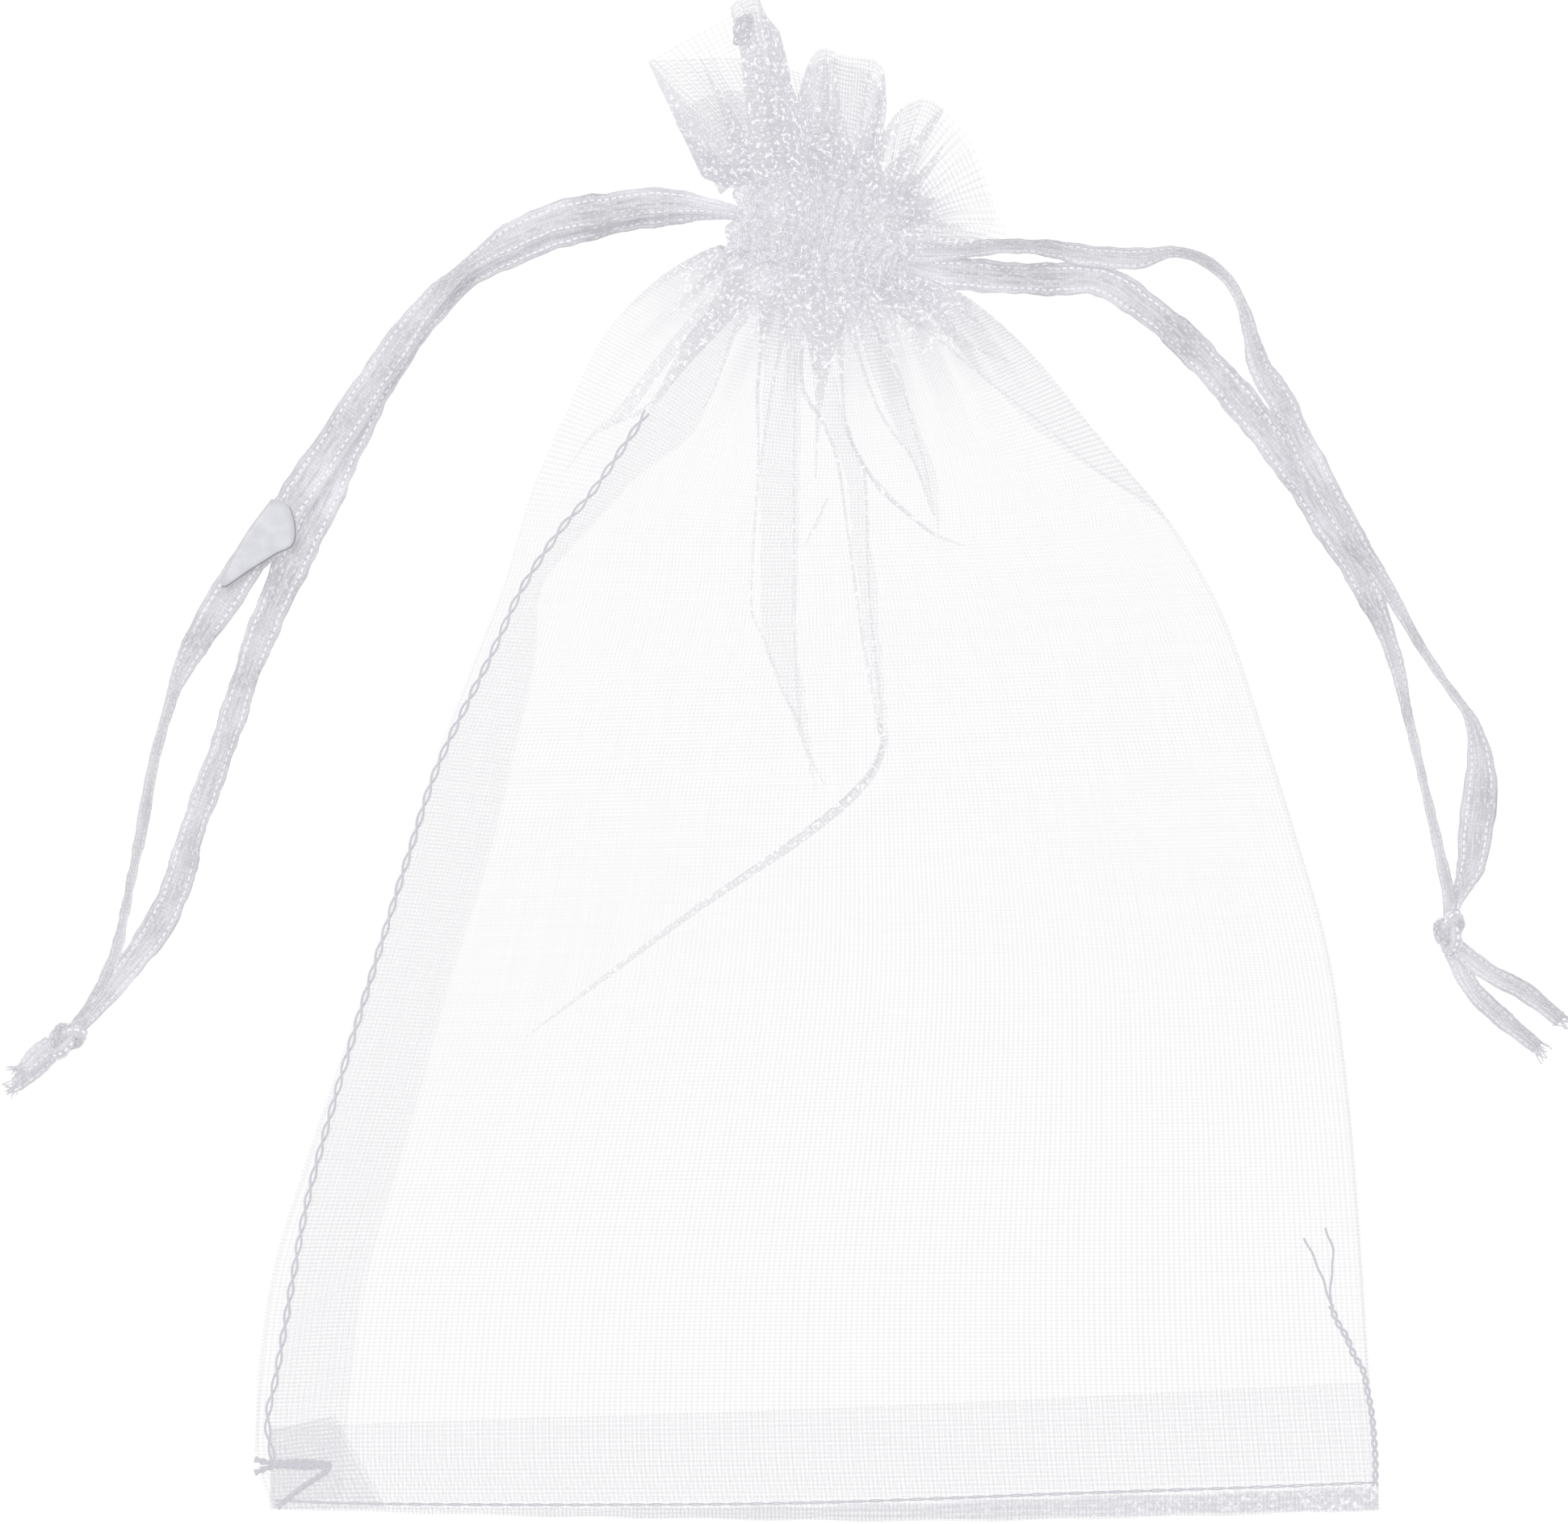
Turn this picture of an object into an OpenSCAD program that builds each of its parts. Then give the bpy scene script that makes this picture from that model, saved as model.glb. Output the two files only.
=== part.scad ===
// Organza drawstring gift pouch, lying flat with its mouth drawn shut.
// Millimetres. +Z is up, +Y runs from the bottom seam to the mouth, and the origin is
// on the resting surface, in the middle of the pouch.

/* [Cloth] */
// Thickness of each cloth panel
panel_t = 0.3; // [0.2:0.05:0.4]
// Thickness of each turned-in seam allowance
allowance_t = 0.2; // [0.15:0.05:0.25]
// Height of the front panel's underside at the bottom seam
seam_h = 1.3; // [1.2:0.1:1.6]
// Height of the front panel's underside at the neck
shoulder_h = 7.5; // [6.5:0.1:8]

/* [Neck] */
// Width of the gathered neck along its drawstring channel
neck_w = 17.5; // [16:0.5:19]
// Height of the channel band from its lower to its upper stitch line
neck_h = 8; // [7:0.5:9]
// Tilt of the channel, clockwise
neck_tilt = 12.7; // [10:0.1:15]
// Thickness of the neck's back half
back_neck_t = 5; // [4.6:0.1:5.2]
// Thickness of the neck's front half
front_neck_t = 4.6; // [4:0.1:5]
// Thickness of each frill lobe
frill_t = 0.5; // [0.3:0.1:0.8]

/* [Drawstrings] */
// Width of the ribbon
ribbon_w = 3.2; // [2.8:0.1:3.6]
// Thickness of one ply of ribbon
ribbon_t = 0.5; // [0.3:0.05:0.5]
// Radius of each knot
knot_r = 1.7; // [1.4:0.1:2]

/* [Hidden] */

cloth = [0.93, 0.93, 0.95];
satin = [0.84, 0.84, 0.87];
thread = [0.9, 0.9, 0.92];

neck_at = [0.8, 47.5];
neck_gap = 0.4;
front_neck_z = back_neck_t + neck_gap;
bottom_y = -68.4;
hinge_y = -68;
lean = atan((shoulder_h - seam_h) / (neck_at[1] - neck_h / 2 - hinge_y));

// How far the drawstrings reach straight out of the neck before their loops start
stub = 6.85;
swing_r = neck_w / 2 + stub;
loop_gap = 2;
thread_w = 0.5;
thread_t = 0.3;

// Sides of the pouch, from the neck down to the bottom corners
left_side = [[-8.6, 45.5], [-18.6, 41], [-23, 33.5], [-26.3, 23.5], [-29.3, 12.3],
    [-35.2, -2.5], [-41, -21.4], [-45.5, -35], [-49.3, -47.5], [-50.8, -61],
    [-49.2, -67]];
right_side = [[8.5, 41.7], [12.9, 42.4], [21, 34.5], [31, 22.5], [37.2, 11.8],
    [42.6, -5.3], [46.2, -17], [48, -32], [49.2, -50], [50.8, -67]];
bottom_edge = [[-49.2, -67], [-28.5, -67.8], [0, bottom_y], [22, -68.3], [50.8, -67]];

// Stitch line of the side seam, and the free edge of the cloth turned in behind it
seam_line = [[-9.2, 41], [-15.8, 30], [-23, 20.8], [-28.2, 15.4], [-33.8, 0],
    [-40.1, -19.7], [-45.5, -38.5], [-48.4, -54], [-49, -59.4]];
allowance_edge = [[-6.5, 40], [-10.5, 28], [-20, 20.4], [-24.8, 13], [-27.2, 0],
    [-32.8, -19.7], [-38.2, -38.5], [-41.4, -54], [-42.2, -59]];
band_edge = [[-49.6, -59.6], [-42.2, -59.2], [-6, -58.3], [49.4, -55.6]];
roll_edge = [[-49.2, -66.6], [-28.5, -66.9], [0, -66.7], [22, -65.9], [50.2, -64.6]];

// Routes of the free ribbon strands, from the stub at the neck to the knot
left_outer_route = [[-22.4, 50.8, 1.3], [-27.3, 47.2, 1.1],
    [-31.3, 43.3, 1.1], [-35.7, 37.3, 1.1], [-40, 31.5, 1.1], [-44.7, 25.5, 1.1],
    [-50.9, 18.4, 1], [-53.2, 14.7, 0.5], [-56, 10, 0.3], [-58.4, 3.8, 0.3],
    [-59.8, -2, 0.3], [-60.8, -8, 0.3], [-62.3, -14, 0.3], [-63.8, -19, 0.6],
    [-66.4, -23.4, 1.4]];
left_inner_route = [[-22, 50, 0.8], [-27.6, 45.7, 0.3],
    [-31.8, 42, 0.3], [-35.7, 36.8, 0.3], [-39.3, 31, 0.3], [-42.7, 25, 0.3],
    [-46.5, 18.4, 0.3], [-49.4, 12.5, 0.3], [-52, 5.8, 0.3], [-54.2, -1, 0.3],
    [-56.3, -7, 0.3], [-58, -12.5, 0.3], [-60.8, -17.2, 0.3], [-63.4, -20.4, 1.2],
    [-66, -24, 2.1]];
right_outer_route = [[23.4, 43.7, 2.6], [27, 45, 1.6],
    [32.5, 45.8, 1.1], [36.2, 44, 1.1], [38.8, 40, 1.1], [39.9, 36, 1.1],
    [43.6, 29.3, 1.1], [47.5, 22, 1.1], [51.6, 14.7, 0.8], [56, 8.2, 0.4],
    [59, 3.2, 0.3], [59.8, -2, 0.3], [59.1, -7, 0.3], [57.6, -12, 1.1],
    [57, -14, 1.6]];
right_inner_route = [[23.2, 43, 1.6], [27.6, 42.7, 0.3],
    [31.9, 40.2, 0.3], [35.5, 36.4, 0.3], [39.5, 31, 0.3], [43.9, 25.4, 0.3],
    [47.2, 19.8, 0.3], [49.7, 14.4, 0.3], [51.7, 8, 0.3], [53.3, 2, 0.3],
    [54.8, -3.4, 0.3], [55.8, -8.4, 0.5], [56.4, -11.6, 1.2], [56.6, -14, 2]];

left_knot_at = [-67.3, -24.8];
right_knot_at = [56.8, -15.2];
chain_route = [[50, -65], [50, -60], [49.4, -56.4], [48.2, -53.2], [46.9, -50.4],
    [45.9, -48]];

// A point on the smooth curve through points p, past point i by the share t
function on_curve(p, i, t) =
    let (a = p[max(i - 1, 0)], b = p[i], c = p[i + 1], d = p[min(i + 2, len(p) - 1)])
    ((3 * (b - c) + d - a) * t^3 + (2 * a - 5 * b + 4 * c - d) * t^2 + (c - a) * t
        + 2 * b) / 2;
function smooth(p, steps = 4) = [
    for (i = [0 : len(p) - 2]) for (s = [0 : steps - 1]) on_curve(p, i, s / steps),
    p[len(p) - 1]
];
function reversed(p) = [for (i = [len(p) - 1 : -1 : 0]) p[i]];
function unit(v) = v / norm(v);
// A point of the neck's own axes, along and across the channel, in the pouch's plane
function from_neck(x, y) = neck_at
    + [x * cos(neck_tilt) + y * sin(neck_tilt), y * cos(neck_tilt) - x * sin(neck_tilt)];

// The flat area between two open curves that run the same way
module between(edge_a, edge_b) {
    polygon(concat(smooth(edge_a), reversed(smooth(edge_b))));
}

// A strip of constant width along an open curve
module strip(route, width) {
    curve = smooth(route);
    last = len(curve) - 1;
    side = [for (i = [0 : last])
        let (way = unit(curve[min(i + 1, last)] - curve[max(i - 1, 0)]))
        [-way[1], way[0]] * width / 2];
    polygon(concat([for (i = [0 : last]) curve[i] + side[i]],
        [for (i = [last : -1 : 0]) curve[i] - side[i]]));
}

// A flat ribbon swept along a route, with eight sides and one ring at each point
module ribbon_sweep(route) {
    sides = 8;
    last = len(route) - 1;
    rings = [for (i = [0 : last])
        let (way = unit([for (k = [0, 1])
            route[min(i + 1, last)][k] - route[max(i - 1, 0)][k]]))
        for (s = [0 : sides - 1])
            let (turn = (s + 0.5) * 360 / sides, flat = 1 / cos(180 / sides))
            route[i] + flat * ribbon_w / 2 * cos(turn) * [-way[1], way[0], 0]
                + [0, 0, flat * ribbon_t / 2 * sin(turn)]];
    faces = [
        [for (s = [0 : sides - 1]) s],
        [for (s = [sides - 1 : -1 : 0]) last * sides + s],
        for (i = [0 : last - 1]) for (s = [0 : sides - 1])
            let (a = i * sides + s, b = i * sides + (s + 1) % sides)
            each [[a, a + sides, b + sides], [a, b + sides, b]]
    ];
    polyhedron(rings, faces);
}

// Everything in the neck is drawn along its channel, with the channel's middle at 0
module in_neck() {
    translate([neck_at[0], neck_at[1], 0]) rotate([0, 0, -neck_tilt]) children();
}

module neck_half(z, height, slot_z, slot_t) {
    slot_w = ribbon_w + 1.2;
    chamfer = 1.2;
    edge = neck_h / 2;
    in_neck() difference() {
        translate([-neck_w / 2, 0, z]) rotate([90, 0, 90]) linear_extrude(neck_w)
            polygon([[-edge, 0], [edge, 0], [edge, height - chamfer],
                [edge - chamfer, height], [chamfer - edge, height],
                [-edge, height - chamfer]]);
        translate([-neck_w, -slot_w / 2, slot_z]) cube([2 * neck_w, slot_w, slot_t]);
    }
}

// Slanting stitches in a row along the channel
module stitch_row(y, z) {
    count = 7;
    pitch = (neck_w - 2) / count;
    in_neck() for (i = [0 : count - 1])
        translate([(i - (count - 1) / 2) * pitch, y, z])
            rotate([0, 0, i % 2 == 0 ? 20 : -20])
            translate([-pitch * 0.4, -0.2, 0]) cube([pitch * 0.8, 0.4, 0.2]);
}

// One lobe of the frill, cut off where the neck starts
module lobe(outline, z) {
    color(cloth) difference() {
        translate([0, 0, z]) linear_extrude(frill_t) polygon(smooth(outline));
        in_neck() translate([-neck_w / 2, -3 * neck_h / 2, -1])
            cube([neck_w, 2 * neck_h, 20]);
    }
}

// The two plies of a drawstring inside the channel and just outside it
module ribbon_run(side, z, plies, reach, rounded) {
    inner = 1;
    in_neck() translate([0, 0, z]) linear_extrude(plies * (ribbon_t + 0.1)) {
        translate([side > 0 ? inner : -reach, -ribbon_w / 2])
            square([reach - inner, ribbon_w]);
        if (rounded) translate([side * reach, 0]) circle(ribbon_w / 2, $fn = 32);
    }
}

// A drawstring's free strand, which starts just past the end of its stub
module strand(side, start_z, route) {
    straight = [for (far = [0, 1.6])
        let (p = from_neck(side * (swing_r + loop_gap + far), 0)) [p[0], p[1], start_z]];
    color(satin) ribbon_sweep(concat(straight, route));
}

module knot(at) {
    color(satin) translate([at[0], at[1], knot_r]) sphere(knot_r, $fn = 48);
}

module tail(route, z) {
    color(satin) translate([0, 0, z]) linear_extrude(ribbon_t) strip(route, 1.4);
}

module thread_line(route, z) {
    color(thread) translate([0, 0, z]) linear_extrude(thread_t) strip(route, thread_w);
}

module panel_outline() {
    polygon(concat(smooth(left_side), smooth(bottom_edge), reversed(smooth(right_side))));
}

module back_panel() {
    color(cloth) linear_extrude(panel_t) difference() {
        panel_outline();
        in_neck_outline();
    }
}

module in_neck_outline() {
    translate(neck_at) rotate(-neck_tilt)
        translate([-neck_w / 2, -neck_h / 2]) square([neck_w, 2 * neck_h]);
}

module side_seam_allowance() {
    color(cloth) translate([0, 0, panel_t]) linear_extrude(allowance_t)
        between(seam_line, allowance_edge);
}

module bottom_seam_allowance() {
    color(cloth) translate([0, 0, panel_t]) linear_extrude(allowance_t)
        between(band_edge, roll_edge);
}

module corner_fold() {
    color(cloth) translate([0, 0, panel_t + allowance_t]) linear_extrude(allowance_t)
        polygon([[-48.6, -66], [-48.8, -61], [-43.2, -59.6], [-40.5, -62], [-38.6, -66]]);
}

module bottom_roll() {
    color(cloth) translate([0, 0, panel_t]) linear_extrude(0.6)
        between(roll_edge, bottom_edge);
}

module side_seam_thread() {
    thread_line([for (p = seam_line) p + [0.5, 0]], panel_t + allowance_t);
}

module bottom_seam_thread() {
    thread_line([[-37.5, -66.2], [-28.5, -66.4], [0, -66.1], [22, -65.3], [49.4, -64.1]],
        panel_t + allowance_t);
}

module corner_back_tack() {
    thread_line([[-48.4, -62.8], [-45.4, -63], [-42.8, -62.6]], panel_t + 2 * allowance_t);
    thread_line([[-43.6, -63.7], [-48.2, -65.8]], panel_t + 2 * allowance_t);
}

module loose_thread_chain() {
    color(thread) translate([0, 0, panel_t + allowance_t + 0.1])
        linear_extrude(thread_t) {
            strip([for (p = chain_route) p - [0.8, -1.6]], thread_w);
            strip([[45.1, -46.4], [43.8, -42.6]], thread_t);
        }
}

module back_neck() { color(cloth) neck_half(0, back_neck_t, 0.8, back_neck_t - 1.6); }

module back_upper_stitches() { color(thread) stitch_row(neck_h / 2 - 1.6, back_neck_t); }

module back_lower_stitches() { color(thread) stitch_row(1.6 - neck_h / 2, back_neck_t); }

module frill_left_lobe() {
    lobe([[-4, 52], [-8, 52], [-10.3, 52], [-12.6, 57.4], [-15.1, 62.6], [-7.9, 66.6],
        [-4.5, 60], [-1, 52]], 3.3);
}

module frill_centre_lobe() {
    lobe([[-1.8, 52], [-1.7, 59.6], [0.6, 63.8], [5.7, 62.4], [6, 59], [5.4, 55.4],
        [5, 51]], 2);
}

module front_panel() {
    color(cloth) translate([0, hinge_y, seam_h]) difference() {
        rotate([lean, 0, 0]) translate([0, -hinge_y, 0]) linear_extrude(panel_t)
            intersection() {
                panel_outline();
                translate([-60, hinge_y + 0.4]) square(120);
            }
        translate([0, -hinge_y, -20]) linear_extrude(60) in_neck_outline();
    }
}

module front_neck() {
    color(cloth) neck_half(front_neck_z, front_neck_t, front_neck_z + 1.4, 1.6);
}

module front_upper_stitches() {
    color(thread) stitch_row(neck_h / 2 - 1.6, front_neck_z + front_neck_t);
}

module front_lower_stitches() {
    color(thread) stitch_row(1.6 - neck_h / 2, front_neck_z + front_neck_t);
}

module frill_spike() {
    lobe([[-5.8, 52], [-7.2, 64], [-7.7, 67], [-5.4, 68.4], [-3.4, 65.1], [-2.1, 59.6],
        [-1.9, 52]], 8);
}

module frill_small_lobe() {
    lobe([[5, 51], [5.4, 55.3], [7.3, 58], [9.9, 59], [11.5, 58.2], [9.4, 56.2],
        [7.4, 53.2], [7, 50]], 8.2);
}

module frill_right_fan() {
    lobe([[7.3, 50], [9.4, 55], [11.5, 58.2], [13.9, 55.3], [15.3, 52], [16.7, 46.9],
        [12.1, 46.5], [10.2, 47]], 6.4);
}

module front_left_ribbon_run() {
    color(satin) ribbon_run(-1, front_neck_z + 1.6, 1, neck_w / 2, false);
}

module front_right_ribbon_run() {
    color(satin) ribbon_run(1, front_neck_z + 2.2, 1, neck_w / 2, false);
}

module left_ribbon_run() { color(satin) ribbon_run(-1, 1, 2, swing_r, true); }

module right_ribbon_run() { color(satin) ribbon_run(1, 2.6, 2, swing_r, true); }

module left_outer_strand() { strand(-1, 1.9, left_outer_route); }

module left_inner_strand() { strand(-1, 1.3, left_inner_route); }

module left_knot() { knot(left_knot_at); }

module left_long_tail() { tail([[-68.4, -26], [-70.8, -28.2], [-73, -29.8]], 0.1); }

module left_short_tail() { tail([[-68.6, -25.6], [-70.4, -27], [-72.2, -28]], 0.8); }

module right_outer_strand() { strand(1, 3.5, right_outer_route); }

module right_inner_strand() { strand(1, 2.9, right_inner_route); }

module right_knot() { knot(right_knot_at); }

module right_long_tail() {
    tail([[57.6, -16.7], [60.4, -19], [63.6, -20.6], [67.2, -23.4]], 0.8);
}

module right_short_tail() {
    tail([[57.2, -17], [58.8, -20.4], [61.4, -22.8], [65, -25.8]], 0.1);
}

back_panel();
side_seam_allowance();
bottom_seam_allowance();
corner_fold();
bottom_roll();
side_seam_thread();
bottom_seam_thread();
corner_back_tack();
loose_thread_chain();
back_neck();
back_upper_stitches();
back_lower_stitches();
frill_left_lobe();
frill_centre_lobe();
front_panel();
front_neck();
front_upper_stitches();
front_lower_stitches();
frill_spike();
frill_small_lobe();
frill_right_fan();
front_left_ribbon_run();
front_right_ribbon_run();
left_ribbon_run();
right_ribbon_run();
left_outer_strand();
left_inner_strand();
left_knot();
left_long_tail();
left_short_tail();
right_outer_strand();
right_inner_strand();
right_knot();
right_long_tail();
right_short_tail();
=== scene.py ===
"""Looks of a drawstring gift pouch: sheer organza cloth, gathered neck, frill and ribbon loops."""

import math

import bmesh
import bpy
import numpy as np
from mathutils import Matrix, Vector
from mathutils.kdtree import KDTree


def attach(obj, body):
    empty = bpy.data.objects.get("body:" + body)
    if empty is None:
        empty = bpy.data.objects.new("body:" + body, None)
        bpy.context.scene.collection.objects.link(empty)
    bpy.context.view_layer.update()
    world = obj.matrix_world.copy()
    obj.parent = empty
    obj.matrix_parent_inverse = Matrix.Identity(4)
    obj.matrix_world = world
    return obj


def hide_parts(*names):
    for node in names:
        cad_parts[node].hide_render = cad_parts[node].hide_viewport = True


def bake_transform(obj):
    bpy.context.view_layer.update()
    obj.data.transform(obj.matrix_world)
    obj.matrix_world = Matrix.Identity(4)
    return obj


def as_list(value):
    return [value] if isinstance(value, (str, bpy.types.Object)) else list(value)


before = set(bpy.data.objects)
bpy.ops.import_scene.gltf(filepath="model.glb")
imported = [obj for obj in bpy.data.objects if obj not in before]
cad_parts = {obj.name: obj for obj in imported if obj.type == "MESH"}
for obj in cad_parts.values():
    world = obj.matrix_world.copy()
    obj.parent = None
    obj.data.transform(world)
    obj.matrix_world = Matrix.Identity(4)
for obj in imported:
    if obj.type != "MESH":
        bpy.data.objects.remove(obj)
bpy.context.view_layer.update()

MM = 0.001
rng = np.random.default_rng(7)


# ---------------------------------------------------------------- camera, light and floor


# The middle and width of the camera's view, in mm, and the lamps: name, place and size in m, and watts
VIEW_MIDDLE = -2.9
VIEW_WIDTH = 140.9
LAMPS = [("key", (-0.35, 0.3, 0.6), 0.4, 1.5), ("fill", (0.45, -0.2, 0.5), 0.6, 0.8)]


def add_camera():
    """A long lens straight above the middle of the pouch and its ribbon loops."""
    data = bpy.data.cameras.new("camera")
    data.lens = 250
    data.sensor_width = 36
    height = VIEW_WIDTH * MM * data.lens / data.sensor_width
    data.clip_start = 0.01
    camera = placed("camera", data)
    camera.location = (VIEW_MIDDLE * MM, 0, height)
    bpy.context.scene.camera = camera


def add_light(name, place, size, watts):
    """A square soft light that points at the pouch."""
    data = bpy.data.lights.new(name, "AREA")
    data.size = size
    data.energy = watts
    lamp = placed(name, data)
    lamp.location = place
    lamp.rotation_euler = (-Vector(place)).to_track_quat("-Z", "Y").to_euler()


def add_studio():
    """A pale sky, the lamps and a sheet of white paper."""
    world = bpy.data.worlds.new("studio")
    world.use_nodes = True
    background = world.node_tree.nodes["Background"]
    background.inputs["Color"].default_value = (0.97, 0.98, 1, 1)
    background.inputs["Strength"].default_value = 0.5
    scene = bpy.context.scene
    scene.world = world
    scene.view_settings.view_transform = "Standard"
    scene.cycles.transparent_max_bounces = 64
    for lamp in LAMPS:
        add_light(*lamp)
    floor_size = 3
    mesh = bpy.data.meshes.new("floor")
    corners = [(-1, -1), (1, -1), (1, 1), (-1, 1)]
    mesh.from_pydata([(x * floor_size, y * floor_size, 0) for x, y in corners], [], [range(4)])
    floor = placed("floor", mesh)
    mesh.materials.append(floor_paper())


# ---------------------------------------------------------------- materials


class Maths:
    """A node's socket that takes part in plain expressions, which add their Math nodes."""

    def __init__(self, tree, socket):
        self.tree, self.socket = tree, socket

    def add(self, kind, settings=None, output=0, **sockets):
        """Any other node: its type, its settings and the values or links of its sockets."""
        node = self.tree.nodes.new(kind)
        for name, value in (settings or {}).items():
            setattr(node, name, value)
        for name, value in sockets.items():
            place = node.inputs[int(name[1:])] if name[0] == "_" else node.inputs[name.replace("_", " ")]
            if isinstance(value, Maths):
                self.tree.links.new(value.socket, place)
            else:
                place.default_value = value
        return Maths(self.tree, node.outputs[output])

    def do(self, operation, *values):
        numbers = {f"_{i}": v for i, v in enumerate(values)}
        return self.add("ShaderNodeMath", {"operation": operation}, **numbers)

    def __add__(self, other):
        return self.do("ADD", self, other)

    def __sub__(self, other):
        return self.do("SUBTRACT", self, other)

    def __rsub__(self, other):
        return self.do("SUBTRACT", other, self)

    def __mul__(self, other):
        return self.do("MULTIPLY", self, other)

    def __truediv__(self, other):
        return self.do("DIVIDE", self, other)

    __radd__, __rmul__ = __add__, __mul__

    def step(self, low, high):
        """0 below low, 1 above high, smooth between."""
        settings = {"interpolation_type": "SMOOTHSTEP"}
        return self.add("ShaderNodeMapRange", settings, _0=self, _1=low, _2=high, _3=0.0, _4=1.0)

    def mix(self, dark, light):
        """The colour dark where this is 0 and light where it is 1."""
        settings = {"data_type": "RGBA"}
        return self.add("ShaderNodeMix", settings, 2, _0=self, _6=(*dark, 1), _7=(*light, 1))

    def yarn(self, pitch, width):
        """1 on a yarn and 0 between, for yarns pitch apart across this coordinate."""
        off_centre = self.do("ABSOLUTE", self.do("FRACT", self / pitch) - 0.5) * pitch
        return 1 - off_centre.step(width * 0.25, width * 0.75)


def new_material(name, **shader_values):
    """A material, its Principled shader and a Maths helper on its nodes."""
    material = bpy.data.materials.new(name)
    material.use_nodes = True
    shader = material.node_tree.nodes["Principled BSDF"]
    for socket, value in shader_values.items():
        shader.inputs[socket.replace("_", " ")].default_value = value
    return material, shader, Maths(material.node_tree, None)


def link(material, value, socket):
    """Joins a Maths value to a socket of the material's shader."""
    material.node_tree.links.new(value.socket, socket)


def floor_paper():
    """White paper, lit evenly enough to stay white under the cloth."""
    values = {"Base_Color": (0.12, 0.12, 0.12, 1), "Roughness": 1.0, "Specular_IOR_Level": 0.0,
              "Emission_Color": (1, 1, 1, 1), "Emission_Strength": 0.93}
    return new_material("floor_paper", **values)[0]


def thread_noise(tool, uv, scale, **sockets):
    """Noise over the thread coordinates, stretched by a different scale across and along."""
    at = tool.add("ShaderNodeMapping", Vector=uv, Scale=(*scale, 1))
    return tool.add("ShaderNodeTexNoise", {"noise_dimensions": "2D"}, Vector=at, Scale=1.0, **sockets)


def object_noise(tool, scale, detail):
    """Noise through the piece itself, without regard to its threads."""
    place = tool.add("ShaderNodeTexCoord", output=3)
    return tool.add("ShaderNodeTexNoise", Vector=place, Scale=scale, Detail=detail)


def thread_coordinates(tool):
    """The thread coordinates, in mm, and the same apart: across and along."""
    uv = tool.add("ShaderNodeUVMap", {"uv_map": "threads"})
    across = tool.add("ShaderNodeSeparateXYZ", _0=uv)
    return uv, across, Maths(tool.tree, across.socket.node.outputs[1])


# The weave, in mm: how far apart its yarns are and how wide
WARP_PITCH, WARP_WIDTH = 0.49, 0.17
WEFT_PITCH, WEFT_WIDTH = 0.355, 0.12
# How far each extra layer of gathered yarns closes the gaps, and the most that they close
PACKING = 0.64
DENSEST = 0.95


def organza(name, yarn_opacity):
    """Sheer plain weave: fine half-clear yarns each way with open gaps between them.
    Its emission is painted glow that stands in for light passing through the yarns, so even deep folds stay
    pale, with painted glints where the cloth is gathered."""
    material, shader, tool = new_material(name, Base_Color=(0.32, 0.317, 0.335, 1), Sheen_Weight=0.1,
                                          Emission_Strength=1.0)
    uv, across, along = thread_coordinates(tool)
    gather = tool.add("ShaderNodeAttribute", {"attribute_name": "gather"}, output=2)
    slub = tool.add("ShaderNodeTexNoise", {"noise_dimensions": "2D"}, Vector=uv, Scale=0.9, Detail=3.0)
    streak = thread_noise(tool, uv, (2.0, 0.05))
    bar = thread_noise(tool, uv, (0.04, 2.4))
    warp = across.yarn(WARP_PITCH, WARP_WIDTH) * (0.45 + streak * 1.1)
    weft = along.yarn(WEFT_PITCH, WEFT_WIDTH) * (0.45 + bar * 1.1)
    body = 1 - (1 - warp * yarn_opacity) * (1 - weft * yarn_opacity)
    film = (slub - 0.35) * 0.02
    packed = (gather - 1) * yarn_opacity * PACKING
    alpha = tool.do("MINIMUM", (body + film) * tool.do("MINIMUM", gather, 1.6) + packed, DENSEST)
    link(material, tool.do("MAXIMUM", alpha, 0.0), shader.inputs["Alpha"])
    glint = tool.add("ShaderNodeTexNoise", {"noise_dimensions": "2D"}, Vector=uv, Scale=1.6, Detail=3.0)
    # Bright specks in the emission colour where the cloth is gathered: painted glints.
    painted_sparkle = object_noise(tool, 2600.0, 1.0)
    painted_sparkle = painted_sparkle.step(0.53, 0.63) * gather.step(1.4, 3.0) * glint.step(0.38, 0.54)
    # The emission colour is painted glow that keeps folds and shade pale, lifted to the painted glints
    # where they show.
    painted_glow = painted_sparkle.mix((0.41, 0.404, 0.427), (0.84, 0.84, 0.86))
    link(material, painted_glow, shader.inputs["Emission Color"])
    link(material, 0.3 + glint * 0.3, shader.inputs["Roughness"])
    return material


# ---------------------------------------------------------------- meshes


def smooth_path(points, count):
    """count points evenly spaced along a smooth curve through points."""
    p = np.array(points, float)
    p = np.vstack([2 * p[0] - p[1], p, 2 * p[-1] - p[-2]])
    out = []
    for i in range(1, len(p) - 2):
        for t in np.linspace(0, 1, 24, endpoint=False):
            a, b, c, d = p[i - 1 : i + 3]
            bend, twist = 2 * a - 5 * b + 4 * c - d, 3 * (b - c) + d - a
            out.append(0.5 * (2 * b + (c - a) * t + bend * t**2 + twist * t**3))
    out.append(p[-2])
    out = np.array(out)
    far = distances(out)
    even = np.linspace(0, far[-1], count)
    return np.stack([np.interp(even, far, out[:, k]) for k in range(out.shape[1])], axis=1)


def lengths(path):
    """How far it is from each point of path to the next."""
    return np.linalg.norm(np.diff(path, axis=0), axis=-1)


def distances(path):
    """How far along path each of its points lies."""
    return np.concatenate([[0], np.cumsum(lengths(path))])


def unit(vectors):
    return vectors / np.linalg.norm(vectors, axis=1)[:, None]


def soft_step(x, low, high):
    """0 below low, 1 above high, smooth between."""
    t = np.clip((x - low) / (high - low), 0, 1)
    return t * t * (3 - 2 * t)


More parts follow.
